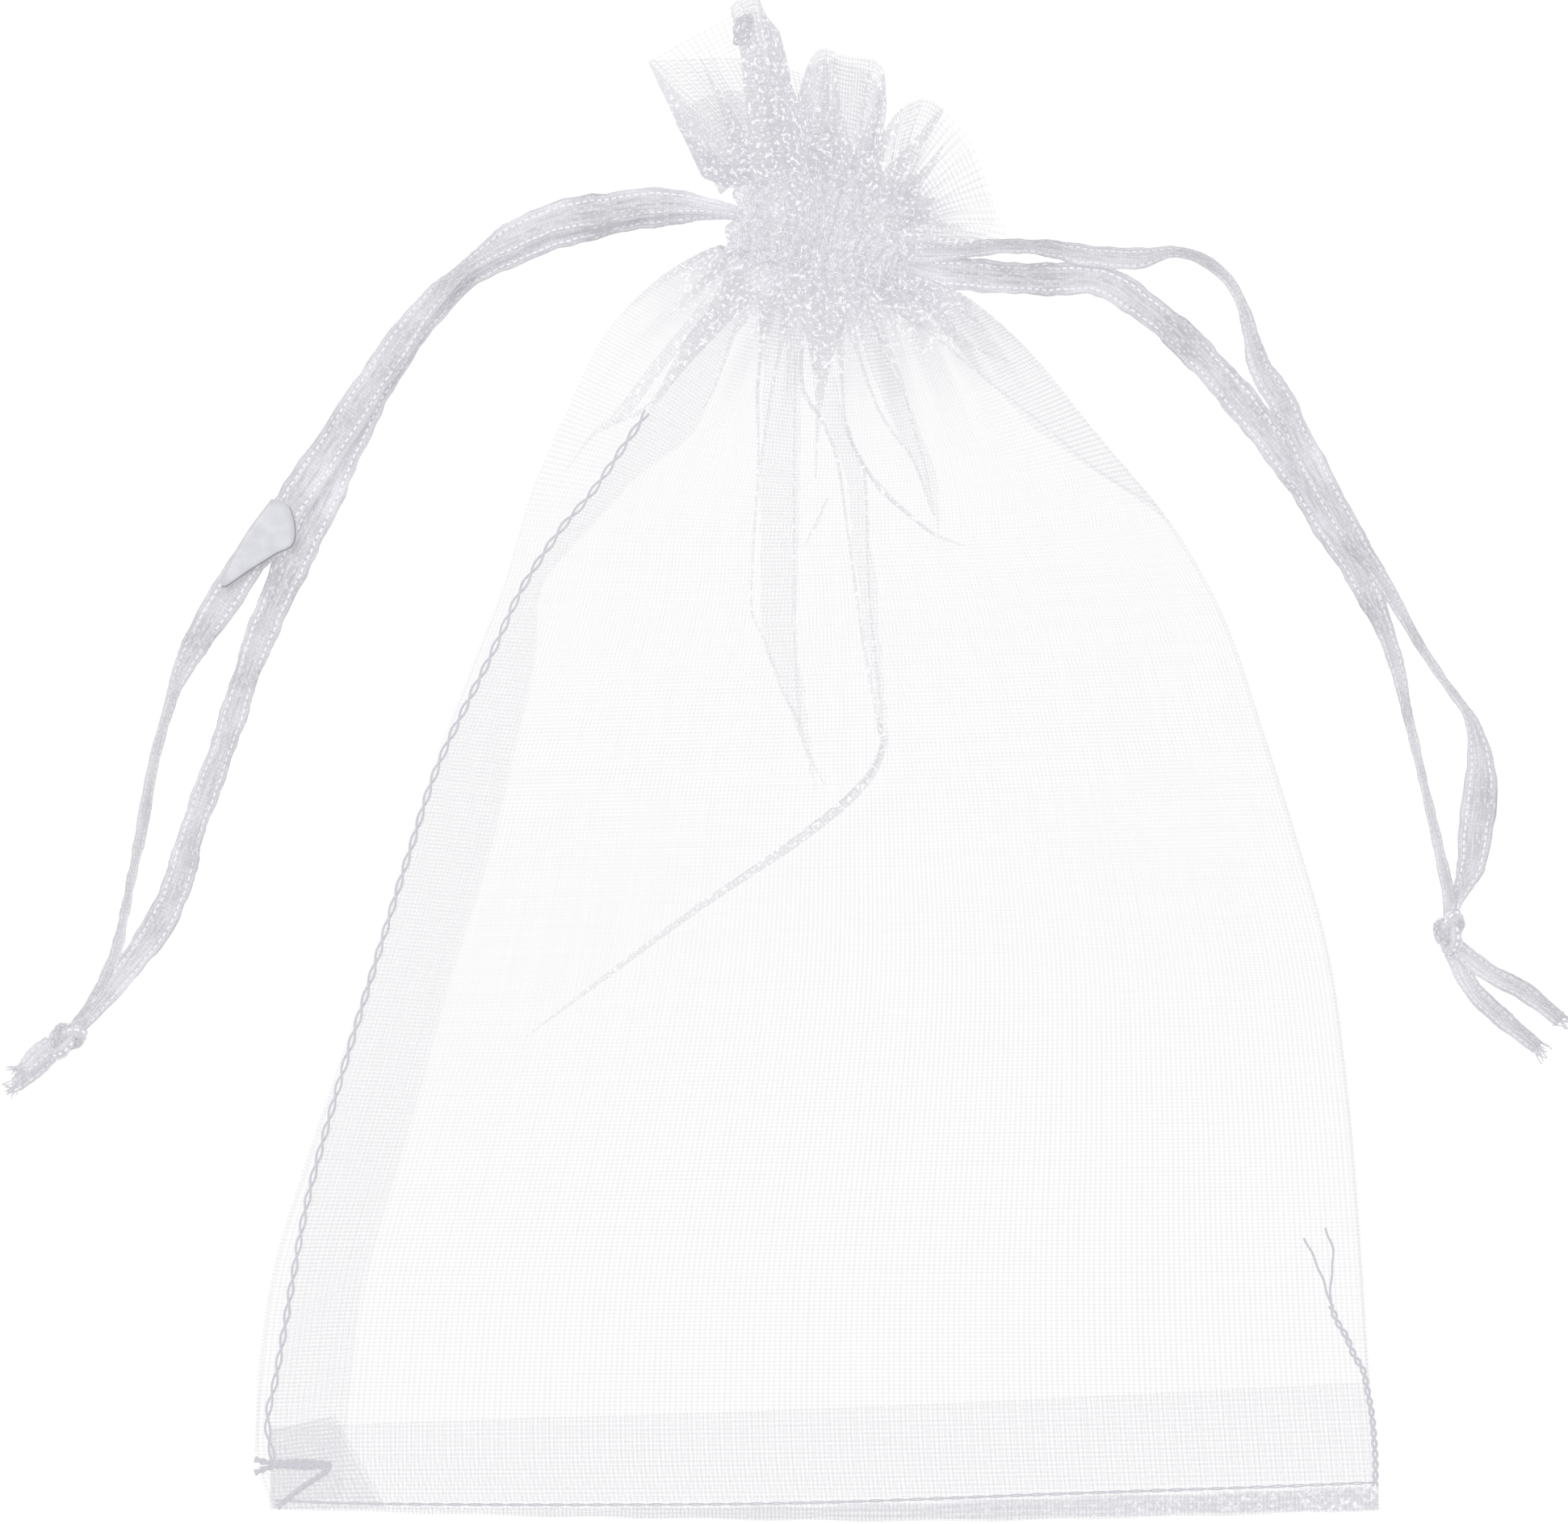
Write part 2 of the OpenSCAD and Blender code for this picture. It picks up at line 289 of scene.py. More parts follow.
def new_piece(name, points, faces, material, uvs=None):
    """A smooth mesh from points in mm, with its thread coordinates corner by corner."""
    mesh = bpy.data.meshes.new(name)
    mesh.from_pydata((np.asarray(points, float).reshape(-1, 3) * MM).tolist(), [], faces)
    if uvs is not None:
        layer = mesh.uv_layers.new(name="threads")
        layer.data.foreach_set("uv", np.asarray(uvs, np.float32).ravel())
    mesh.materials.append(material)
    mesh.polygons.foreach_set("use_smooth", np.ones(len(mesh.polygons), bool))
    return placed(name, mesh)


def placed(name, data):
    """An object that shows data, in the scene."""
    piece = bpy.data.objects.new(name, data)
    bpy.context.scene.collection.objects.link(piece)
    return piece


def belongs(piece, body, node, slot):
    """The piece rides on body and stands for the CAD node, which it hides. slot is not used."""
    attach(piece, body)
    if node:
        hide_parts(node)


def grid_mesh(name, points, threads, gather, material):
    """A cloth piece from a grid of points in mm, with its thread coordinates and gather."""
    rows, columns = points.shape[:2]
    starts = [i * columns + j for i in range(rows - 1) for j in range(columns - 1)]
    faces = [(a, a + 1, a + columns + 1, a + columns) for a in starts]
    piece = new_piece(name, points, faces, material, threads.reshape(-1, 2)[np.array(faces).ravel()])
    layer = piece.data.attributes.new("gather", "FLOAT", "POINT")
    layer.data.foreach_set("value", gather.reshape(-1).astype(np.float32))
    return piece


def merged(name, grids, places, gathers, material):
    """Several grids of cloth as one piece."""
    sheets = zip(grids, places, gathers)
    parts = [grid_mesh(f"{name}_{i}", *sheet, material) for i, sheet in enumerate(sheets)]
    whole = parts[0]
    chosen = {"active_object": whole, "selected_editable_objects": parts, "selected_objects": parts}
    with bpy.context.temp_override(**chosen):
        bpy.ops.object.join()
    whole.name = name
    whole.data.name = name
    return whole


def height_finder(grid):
    """A function that gives the height of a layer of cloth over a point, all in mm."""
    points = grid.reshape(-1, 3)
    tree = KDTree(len(points))
    for i, p in enumerate(points):
        tree.insert((p[0], p[1], 0), i)
    tree.balance()

    def height(x, y, pick=np.max):
        return float(pick([points[i][2] for _, i, _ in tree.find_n((x, y, 0), 4)]))

    return height


# ---------------------------------------------------------------- the pouch's cloth

NECK = np.array([0.8, 47.5])
TILT = math.radians(12.7)
NECK_HALF = 8.75
CHANNEL_HALF = 4.0
FLAT_WIDTH = 100.0
FLAT_HEIGHT = 126.0


def from_neck(x, y):
    """A point in mm from its place along and across the drawstring channel."""
    c, s = math.cos(TILT), math.sin(TILT)
    return np.stack([NECK[0] + x * c + y * s, NECK[1] - x * s + y * c], axis=-1)


# The pouch's sides from the bottom corners up to the neck
LEFT_SIDE = [(-49.2, -67.2), (-50.7, -62), (-50.2, -54), (-48.8, -45), (-45.4, -34), (-40.8, -20.5),
             (-35.3, -2.5), (-31.4, 8), (-28.3, 16), (-26.1, 23.5), (-23.2, 30.5), (-19.5, 38.2),
             (-14.5, 43.4), (-9.4, 46.2)]
RIGHT_SIDE = [(50.7, -67.2), (50.4, -62), (49.7, -54), (48.9, -42), (47.9, -30), (46.2, -17.5),
              (43, -6), (40, 3.5), (37.2, 11.8), (34.2, 17.8), (31, 22.6), (25.6, 29), (19.5, 36.3),
              (13.5, 41.6), (9.3, 43.4)]


def side_curve(points, neck_x, count):
    """A side of the pouch from its bottom corner to its end of the channel's lower stitches."""
    corner = from_neck(neck_x, -CHANNEL_HALF)
    return smooth_path(list(points) + [tuple(corner)], count)


class Layer:
    """Where a flat layer of the pouch lies: rows run from side to side, from the bottom up."""

    rows, columns = 150, 230

    def __init__(self):
        self.left = side_curve(LEFT_SIDE, -NECK_HALF, self.rows)
        self.right = side_curve(RIGHT_SIDE, NECK_HALF, self.rows)
        self.up = np.linspace(0, 1, self.rows)
        # the middle of a row hangs lower than its ends, just below the neck
        self.dip = 5.5 * np.exp(-(((self.up - 0.87) / 0.11) ** 2)) * (1 - self.up**30)
        self.width = np.linalg.norm(self.right - self.left, axis=1)

    def at(self, share):
        """Points in mm for each row at these shares of the way across."""
        share = np.asarray(share, float)[..., None]
        flat = self.left[:, None] * (1 - share) + self.right[:, None] * share
        flat[..., 1] -= (self.dip[:, None] * 4 * share[..., 0] * (1 - share[..., 0]))
        return flat

    def find(self, path):
        """For points (x, y), their row and their share across."""
        share = np.linspace(0, 1, 201)
        grid = self.at(np.broadcast_to(share, (self.rows, 201)))
        found = []
        for x, y in path:
            gap = (grid[..., 0] - x) ** 2 + (grid[..., 1] - y) ** 2
            row, column = np.unravel_index(np.argmin(gap), gap.shape)
            found.append((self.up[row], share[column]))
        return np.array(found)


LAYER = Layer()

# Folds in the cloth: points (x, y) down the middle of each, and how wide it lies there
FRONT_FOLDS = [
    [(-3.2, 40.5, 3.6), (-3.4, 30, 3.5), (-3.6, 20, 3.5), (-3.6, 12, 3.1), (-2, 5, 1.5),
     (-0.4, -1.4, 0.1)],
    [(0.4, 40, 2.4), (0.6, 34, 2.2), (1.9, 29, 1.7), (3.2, 25, 1.5), (3.9, 18.3, 1.7), (4.9, 10, 1.3),
     (5.9, 2.4, 0.4)],
]
BACK_FOLDS = [
    [(3.5, 41.5, 2), (4.7, 37.7, 2), (6.4, 33, 2.1), (8.1, 29.3, 1.9), (9.8, 25.2, 1.5),
     (10.7, 21, 0.1)],
]
# Sharp creases pinched into the front layer: points (x, y, width) and how dense they are
CREASES = [
    (4.3, [(5.6, 3.4, 0.4), (5.9, 1.2, 0.6), (3.9, -2.3, 0.9), (-1.5, -6.9, 0.8), (-10.5, -13, 0.65),
           (-19.5, -19.7, 0.45), (-26, -24.6, 0.15)]),
    (4.1, [(5.9, 1.6, 0.25), (4.4, -1.6, 0.3), (-1.2, -6.2, 0.25), (-8, -11, 0.15)]),
    (3.5, [(-4.8, 40.1, 0.3), (-5.2, 33.6, 0.3), (-5.2, 26.4, 0.25), (-5.7, 18.4, 0.22),
           (-5.8, 13.6, 0.25), (-5, 11.7, 0.3), (-3.3, 7.1, 0.35), (-1.7, 3.7, 0.4), (-0.8, 0.9, 0.35),
           (0.7, -2, 0.15)]),
    (4.1, [(-2.6, 40.9, 1.2), (-3.2, 37.2, 0.5), (-3.9, 33.6, 0.35), (-4.6, 29.3, 0.3),
           (-5.2, 24.2, 0.15)]),
    (3.2, [(-1.9, 37, 0.2), (-1.9, 35.1, 0.25), (-2, 26.4, 0.22), (-2, 18.4, 0.22), (-2, 11.8, 0.25),
           (-1.7, 6.4, 0.3), (-1.4, 3.1, 0.25)]),
    (4.3, [(-1.3, 37.2, 0.35), (-1.2, 33.3, 0.4), (0.7, 30, 0.35), (1.9, 26.7, 0.3), (2.6, 22, 0.25),
           (3.4, 16.2, 0.3), (4.3, 10, 0.3), (5.2, 5.3, 0.35), (5.7, 2.4, 0.45)]),
    (4.1, [(2, 39.1, 1), (2.3, 33.6, 0.3), (2.8, 29.3, 0.3), (4.1, 26.7, 0.3), (4.5, 22.7, 0.25),
           (4.6, 17.3, 0.22), (5, 11.8, 0.25), (5.6, 6.4, 0.3), (5.8, 2.8, 0.4)]),
    (4.9, [(0.8, 42.5, 4.6), (0.6, 39, 3.8), (0.5, 37.2, 2.6), (0.3, 33.6, 1.1), (0.1, 30, 0.4),
           (-0.1, 25.3, 0.18)]),
    (3.5, [(1, 23.6, 0.15), (0.1, 21.5, 0.35), (-1.2, 19.1, 0.12)]),
    (4.1, [(2.3, 41, 1.8), (3.6, 36.9, 0.5), (4.5, 34, 0.35), (5.7, 31.1, 0.3), (7.2, 28.9, 0.3),
           (8.6, 27.1, 0.3), (9.7, 24.2, 0.25), (10.4, 22, 0.15)]),
    (3.5, [(4.3, 42, 2.4), (5.7, 38.3, 0.9), (7.6, 34, 0.35), (8.6, 30, 0.3), (9.7, 26.4, 0.25),
           (10.5, 22, 0.15)]),
    (3.8, [(2.8, 30, 0.2), (3.6, 27.4, 0.4), (5.4, 24.9, 0.4), (7.9, 22.4, 0.4), (10.5, 20.4, 0.35),
           (13.2, 19.3, 0.12)]),
    (3.2, [(4.3, 26.4, 0.15), (5.7, 24.2, 0.25), (8.3, 22, 0.25), (10.8, 20, 0.12)]),
    (4.3, [(5.6, 43, 3.2), (8.6, 39.8, 1.2), (11.5, 38.3, 0.5), (14.4, 36.9, 0.35),
           (17.9, 35.6, 0.15)]),
    (3.5, [(8.6, 42.6, 2.2), (10.8, 39.8, 0.9), (13, 38, 0.4), (15.2, 36.5, 0.15)]),
    (3, [(5.7, 41.5, 1), (7.9, 39.8, 0.5), (10.1, 38.3, 0.35), (13.7, 35.4, 0.25), (17.4, 32.5, 0.22),
         (21, 29.6, 0.25), (24.2, 26.9, 0.25), (27.5, 24.7, 0.25), (30.5, 23, 0.15)]),
    (4.9, [(-6.4, 43, 3.6), (-8.8, 39.8, 2.2), (-11, 37.2, 1.8), (-12.6, 34.9, 1.1), (-14.2, 32.6, 0.6),
           (-15.4, 31.5, 0.45), (-18.1, 30.2, 0.25)]),
    (2.7, [(-9.4, 41, 1.4), (-11.3, 38.8, 1.2), (-14.4, 35.1, 1.2), (-16.9, 31.8, 1.2),
           (-18.7, 30.2, 0.7), (-20.2, 29.1, 0.35), (-22.4, 26.1, 0.12)]),
    (4.1, [(-5, 41.5, 2), (-7.2, 38.6, 0.6), (-8.2, 35.9, 0.35), (-9.3, 33, 0.25),
           (-10.1, 31.6, 0.15)]),
    (4.1, [(-4.2, 42, 2.4), (-4.8, 37.2, 0.5), (-5.3, 33.6, 0.3), (-5.4, 30, 0.12)]),
    (4.1, [(-2.2, 42, 2.6), (-2.4, 39, 1.2), (-2.5, 36, 0.4), (-2.6, 33, 0.15)]),
    (1.5, [(-50.3, -62, 0.3), (-49.9, -54, 0.35), (-48.5, -45, 0.35), (-45.1, -34, 0.35),
           (-40.5, -20.5, 0.35), (-35, -2.5, 0.35), (-31.1, 8, 0.3), (-28, 16, 0.3), (-25.8, 23.5, 0.3),
           (-22.9, 30.5, 0.2)]),
    (1.7, [(50.1, -62, 0.3), (49.4, -54, 0.35), (48.6, -42, 0.35), (47.6, -30, 0.35),
           (45.9, -17.5, 0.35), (42.7, -6, 0.35), (39.7, 3.5, 0.35), (36.9, 11.8, 0.35),
           (33.9, 17.8, 0.35), (30.7, 22.6, 0.4), (25.3, 29, 0.3), (19.2, 36, 0.2)]),
]
# How far the cloth is folded over inside the right side, from the neck down
TUCK = [(0.6, 0), (0.722, 0), (0.745, 1.2), (0.78, 2.9), (0.83, 4.4), (0.89, 4.8), (0.95, 4), (1, 2.5)]


def shares(count):
    """Shares of the way across a layer, closer together where the folds are."""
    share = np.linspace(0, 1, count)
    share = share + 0.11 * np.sin(2 * math.pi * (share - 0.02)) / math.pi * 0.9
    return (share - share[0]) / (share[-1] - share[0])


def off_edges(share):
    """1 over most of the way across and 0 at both ends."""
    return np.clip(1 - np.abs(2 * share - 1) ** 8, 0, 1)


def dome(share):
    """A rounded hump from 0 at both ends to 1 in the middle."""
    return np.clip(1 - np.abs(2 * share - 1) ** 3, 0, 1) ** 0.75


def fold_cloth(across, folds):
    """Moves the rows' points along each row so that the cloth laps over itself at each fold.
    Returns the new places along the rows and how far each point is lifted."""
    width = LAYER.width[:, None]
    start = across.copy()
    lift = np.zeros_like(across)
    for fold in folds:
        path = smooth_path(fold, 60)
        where = LAYER.find(path[:, :2])
        order = np.argsort(where[:, 0])
        up, share, lap = where[order, 0], where[order, 1], path[order, 2]
        middle = np.interp(LAYER.up, up, share)[:, None] * width
        size = lap.max() / 3.05
        power = 1.35 + np.interp(LAYER.up, up, lap) / (1.17 * size)
        # the fold fades out below its end
        fade = soft_step(LAYER.up, up[0] - 0.06, up[0] + 0.01)
        fade *= 1 - soft_step(LAYER.up, up[-1] + 0.02, up[-1] + 0.1) * (up[-1] < 0.9)
        power = (power * fade)[:, None]
        x = (start - middle) / size
        across = across - power * size * x * np.exp(-x * x / 2)
        over = (1 + np.tanh(1.5 * x)) * np.exp(-np.clip(x - 1, 0, None) ** 2 / 8)
        lift = lift + 0.22 * np.minimum(power / 1.5, 1) * over
    return across, lift


def pleats(across_share, front):
    """The gathers below the neck: how far they shift the cloth along and off the surface, and
    how far down they reach in mm."""
    count = 12 if front else 11
    s = across_share + 0.014 * np.sin(2 * math.pi * (2.3 * across_share + 0.2 * front))
    s = s + 0.008 * np.sin(2 * math.pi * 5.3 * across_share + 1 + front)
    phase = 2 * math.pi * count * s
    reach = 7 + 5 * np.sin(2 * math.pi * 3.7 * across_share + 2 * front)
    reach = reach + 2.5 * np.sin(2 * math.pi * 7.9 * across_share)
    return np.sin(phase), np.cos(phase), np.clip(reach, 2.5, 15)


def layer_points(front):
    """One layer of the pouch as a grid of points in mm, with its thread coordinates."""
    up = LAYER.up[:, None]
    width = LAYER.width[:, None]
    share_grid = np.broadcast_to(shares(LAYER.columns), (LAYER.rows, LAYER.columns))
    tuck = np.interp(LAYER.up, *zip(*TUCK))[:, None]
    along = share_grid * (width + tuck)
    along, lift = fold_cloth(along, FRONT_FOLDS if front else BACK_FOLDS)
    soft = 0.3
    past = along - width
    inside = soft_step(past, -0.4, 0.4)
    along = width + soft - np.sqrt(past**2 + soft**2)
    wave, crest, reach = pleats(share_grid, front)
    far = (1 - up) * 122
    shift = 0.42 * np.exp(-far / (0.6 * reach)) + 0.1 * np.exp(-far / (2 * reach))
    edge = off_edges(share_grid)
    along = along - shift * wave * edge
    points = LAYER.at(along / width)
    side_z = 0.28 + 4.9 * up**7
    if front:
        middle_z = 0.3 + 0.35 * soft_step(up, 0, 0.05) + 6.9 * up**1.25
    else:
        middle_z = 0.3 - 0.2 * soft_step(up, 0, 0.04) + 2.5 * up**10
    z = side_z + (middle_z - side_z) * dome(along / width) * (1 - 0.9 * inside)
    z = z + lift * (1 if front else 0.8)
    gentle = 0.25 if front else 0.075
    z = z + crest * edge * (1.95 * np.exp(-far / (0.9 * reach)) + gentle * np.exp(-far / (3 * reach)))
    z = np.maximum(z, 0.08)
    return np.dstack([points[..., 0], points[..., 1], z])


def channel_points(front, columns):
    """The gathered rows through the drawstring channel and the foot of the frill."""
    rows = 26
    height = np.linspace(-CHANNEL_HALF, CHANNEL_HALF + 1, rows)[1:, None]
    share_grid = np.broadcast_to(shares(columns), (rows - 1, columns))
    wave, crest, _ = pleats(share_grid, front)
    edge = off_edges(share_grid)
    pinch = np.cos(np.clip(height / CHANNEL_HALF, -1, 1) * math.pi)  # puffs between stitch rows
    inner = np.clip(1 - (height / CHANNEL_HALF) ** 4, 0, 1)
    waist = NECK_HALF + inner * (0.55 * np.sin(1.9 * height + 1.2 * np.sign(share_grid - 0.5)) - 0.45)
    x = (2 * share_grid - 1) * waist - 0.42 * wave * edge
    x = x * (1 + 0.03 * np.clip(height - CHANNEL_HALF, 0, None))
    middle = 7.5 if front else 2.5
    size = 1.7 + 0.15 * pinch
    side_z = 5.2
    z = side_z + (middle - side_z) * dome(share_grid) + crest * edge * size
    z = np.maximum(z, 0.08)
    place = from_neck(x, np.broadcast_to(height, x.shape) + 0.25 * wave * edge)
    return np.dstack([place[..., 0], place[..., 1], z])


def thread_places(points, flat_width, flat_height):
    """Thread coordinates in mm from the lengths along the grid's own lines."""
    step = np.linalg.norm(np.diff(points, axis=1), axis=2)
    across = np.concatenate([np.zeros((len(points), 1)), np.cumsum(step, axis=1)], axis=1)
    across = across / across[:, -1:] * flat_width
    climb = lengths(points).mean(axis=1)
    along = np.concatenate([[0], np.cumsum(climb)])
    along = along / along[-1] * flat_height
    return np.dstack([across, np.broadcast_to(along[:, None], across.shape)])


def gather_of(points, threads, most=6.0):
    """How much closer together the yarns look than in flat cloth, from above."""
    def area(a, b):
        return np.abs(a[..., 0] * b[..., 1] - a[..., 1] * b[..., 0])

    def edges(grid):
        right = np.gradient(grid, axis=1)
        ahead = np.gradient(grid, axis=0)
        return right, ahead

    right, ahead = edges(points)
    whole = np.linalg.norm(np.cross(right, ahead), axis=2)
    flat = area(*edges(threads))
    level = area(right[..., :2], ahead[..., :2])
    slope = np.clip(level / np.maximum(whole, 1e-9), 0.3, 1)
    packed = np.clip(flat / np.maximum(whole, 1e-9), 0.8, most)
    return np.clip(packed / slope, 0.8, most)


def near_neck(points, gather):
    """Keeps the gathers' density close to the neck. Further down, the cloth is spread out."""
    c, s = math.cos(TILT), math.sin(TILT)
    height = (points[..., 0] - NECK[0]) * s + (points[..., 1] - NECK[1]) * c
    along = (points[..., 0] - NECK[0]) * c - (points[..., 1] - NECK[1]) * s
    below = np.clip(-CHANNEL_HALF - height, 0, None)
    far = np.hypot(below, np.clip(np.abs(along) - NECK_HALF, 0, None))
    # the bunched cloth ends in rays that spread like a fan
    fan = along / (NECK_HALF + 0.75 * below)
    ray = np.clip(0.5 + 0.42 * np.sin(20.7 * fan + 1.0) + 0.25 * np.sin(43 * fan + 2.2), 0, 1.1)
    loose = 1 + (gather - 1) * np.exp(-((far / (5.2 + 4 * ray)) ** 2))
    return loose * (1 + 1.6 * np.exp(-((far / (2.5 + 3 * ray)) ** 2)))


def reshape(piece, change):
    """Changes the piece's mesh by a function of its editable shape."""
    shell = bmesh.new()
    shell.from_mesh(piece.data)
    change(shell)
    shell.to_mesh(piece.data)
    shell.free()


def weld(shell):
    """Joins the vertices that lie on each other."""
    bmesh.ops.remove_doubles(shell, verts=shell.verts, dist=2e-6)


def face_outwards(shell):
    bmesh.ops.recalc_face_normals(shell, faces=shell.faces)


def closed_piece(name, points, faces, material, uvs=None):
    """A new_piece whose faces all point outwards."""
    piece = new_piece(name, points, faces, material, uvs)
    reshape(piece, face_outwards)
    return piece


def tapered_grid(line, height, columns=5):
    """A narrow strip of pinched cloth along line: x, y and width, all in mm."""
    line = smooth_path(line, 120)
    ahead = unit(np.gradient(line[:, :2], axis=0))
    side = np.column_stack([-ahead[:, 1], ahead[:, 0]])
    across = np.linspace(-0.5, 0.5, columns)
    flat = line[:, None, :2] + side[:, None] * (across[None, :] * line[:, 2:3])[..., None]
    z = np.array([[height(x, y) for x, y in row] for row in flat])
    return np.dstack([flat[..., 0], flat[..., 1], z + 0.06 + 0.12 * np.cos(across * 3)])


def pinched(line, density, height):
    """The grid, thread places and gather of one crease. It is densest where it is widest."""
    grid = tapered_grid(line, height)
    wide = smooth_path(line, len(grid))[:, 2]
    fade = np.minimum(np.linspace(1.5, 0, len(grid)), 1) * 0.45 + 0.55
    gather = np.broadcast_to((density * fade * (1 + 0.25 * np.minimum(wide, 2)))[:, None], grid.shape[:2])
    return grid, thread_places(grid, 3 * wide.max(), lengths(grid[:, 2]).sum()), gather


def make_pouch_cloth(material):
    """The pouch's one sheet, front and back, with its creases. Also the grids of both layers."""
    grids, threads = [], []
    for front in (True, False):
        points = np.vstack([layer_points(front), channel_points(front, LAYER.columns)])
        grids.append(points)
        threads.append(thread_places(points, FLAT_WIDTH, FLAT_HEIGHT))
    front, back = grids
    back, back_threads = back[:, ::-1], threads[1][:, ::-1].copy()
    back_threads[..., 0] = 2 * FLAT_WIDTH - back_threads[..., 0]
    gather = np.hstack([near_neck(front, gather_of(front, threads[0])),
                        near_neck(back, gather_of(back, back_threads))[:, 1:]])
    points = np.hstack([front, back[:, 1:]])
    places = np.hstack([threads[0], back_threads[:, 1:]])
    over_front = height_finder(front)
    bundles = []
    # the bunches that run through the channel
    for x in np.arange(-7.4, 7.9, 1.55):
        lean = 0.35 * math.sin(2.1 * x)
        spots = from_neck(np.array([1.08 * x, 0.98 * x + lean, 0.93 * x, 0.97 * x - lean, 1.04 * x]),
                          np.array([-6.5, -3, 0, 3, 6.5]))
        bundles.append((2.6, [(px, py, w) for (px, py), w in zip(spots, (0.9, 2.1, 1.8, 2.1, 0.9))]))
    creases = [pinched(line, density, over_front) for density, line in CREASES + bundles]
    grids, places, gathers = (list(part) for part in zip((points, places, gather), *creases))
    piece = merged("pouch_cloth", grids, places, gathers, material)
    reshape(piece, weld)
    return piece, front, back


# ---------------------------------------------------------------- cloth inside the seams


def strip_cloth(name, edge_a, edge_b, height, lift, material, rows=90, columns=25, dense=1.0):
    """Two plies of cloth turned in from edge_a, where they are folded, to edge_b, at height + lift."""
    a, b = smooth_path(edge_a, rows), smooth_path(edge_b, rows)
    place = np.linspace(-1, 1, columns)[None, :]
    share = np.abs(place)[..., None] * (1 - 0.06 * (place[..., None] > 0))
    flat = a[:, None] * (1 - share) + b[:, None] * share
    z = np.array([[max(height(x, y) + lift, 0.1) for x, y in row] for row in flat])
    ripple = rng.normal(0, 0.02, z.shape)
    z = z + ripple + 0.16 * np.tanh(place * 6)
    points = np.dstack([flat[..., 0], flat[..., 1], np.maximum(z, 0.06)])
    span = 2 * np.linalg.norm(b - a, axis=1).mean()
    threads = thread_places(points, span, lengths(a).sum())
    return grid_mesh(name, points, threads, np.full(z.shape, dense), material)


# Lines on the pouch, from its top down or from left to right: the side seam, the edge of the cloth
# turned in beside it, the edge of the band turned up at the bottom, and the roll's lower and upper side
SEAM_LINE = [(-7.2, 43.2), (-11, 37.7), (-15.2, 31.4), (-20, 24.4), (-23, 20.8), (-26.4, 15.6),
             (-29.2, 9.6), (-33.8, 0.1), (-36.5, -8), (-40.1, -19.7), (-42.8, -28.7), (-45.5, -38.5),
             (-46.9, -45.7), (-47.8, -51.1), (-48.6, -55.6), (-49.3, -59.2), (-48.7, -63.2)]
ALLOWANCE_EDGE = [(-5.4, 41.4), (-7.2, 38.6), (-9.3, 33), (-11.1, 29.3), (-16, 25.6), (-18.5, 22.8),
                  (-23, 18), (-24.8, 15), (-25.2, 9), (-27.1, 0.1), (-29.3, -8.9), (-33, -20.5),
                  (-35.6, -30.4), (-38.3, -39.4), (-40.6, -47.6), (-41.4, -54), (-42.1, -60),
                  (-42.3, -66)]
BAND_EDGE = [(-49, -59.8), (-42.8, -59.5), (-25, -58.9), (-6, -58.3), (20, -57.2), (49.4, -55.7)]
BOTTOM_EDGE = [(-49.1, -67.1), (-28.5, -67.7), (-6, -68.1), (16.6, -68.2), (50.5, -67.3)]
ROLL_EDGE = [(-49.2, -66.6), (-28.5, -66.9), (0, -66.7), (22, -65.9), (50.4, -64.9)]


# ---------------------------------------------------------------- threads


def thread_tree(strands):
    """A node tree that lays strands of thread, twisted round each other, along a path."""
    tree = bpy.data.node_groups.new("laid_thread", "GeometryNodeTree")
    face = tree.interface
    face.new_socket("Geometry", in_out="INPUT", socket_type="NodeSocketGeometry")
    for name in ("Thread radius", "Twist radius", "Twist length", "Step"):
        face.new_socket(name, in_out="INPUT", socket_type="NodeSocketFloat")
    face.new_socket("Material", in_out="INPUT", socket_type="NodeSocketMaterial")
    face.new_socket("Geometry", in_out="OUTPUT", socket_type="NodeSocketGeometry")
    tool = Maths(tree, None)
    inputs = tool.add("NodeGroupInput").socket.node.outputs
    path, radius, twist, length, step, material = (Maths(tree, inputs[i]) for i in range(6))
    curve = tool.add("GeometryNodeMeshToCurve", _0=path)
    even = tool.add("GeometryNodeResampleCurve", {"mode": "LENGTH"}, Curve=curve, Length=step)
    along = tool.add("GeometryNodeSplineParameter", output="Length")
    angle = along / length * (2 * math.pi)
    tangent = tool.add("GeometryNodeInputTangent")
    side = tool.add("ShaderNodeVectorMath", {"operation": "CROSS_PRODUCT"}, _0=tangent, _1=(0, 0, 1))
    joined = tool.add("GeometryNodeJoinGeometry")
    ring = tool.add("GeometryNodeCurvePrimitiveCircle", Resolution=6, Radius=radius)
    for k in range(strands):
        phase = angle + 2 * math.pi * k / strands
        parts = []
        for operation, way in (("COSINE", side), ("SINE", (0, 0, 1))):
            far = tool.do(operation, phase) * twist
            parts.append(tool.add("ShaderNodeVectorMath", {"operation": "SCALE"}, _0=way, Scale=far))
        offset = tool.add("ShaderNodeVectorMath", {"operation": "ADD"}, _0=parts[0], _1=parts[1])
        laid = tool.add("GeometryNodeSetPosition", Geometry=even, Offset=offset)
        tube = tool.add("GeometryNodeCurveToMesh", Curve=laid, Profile_Curve=ring, Fill_Caps=True)
        tree.links.new(tube.socket, joined.socket.node.inputs[0])
    real = tool.add("GeometryNodeRealizeInstances", _0=joined)
    finish = tool.add("GeometryNodeSetMaterial", _0=real, Material=material)
    tree.links.new(finish.socket, tree.nodes.new("NodeGroupOutput").inputs[0])
    return tree


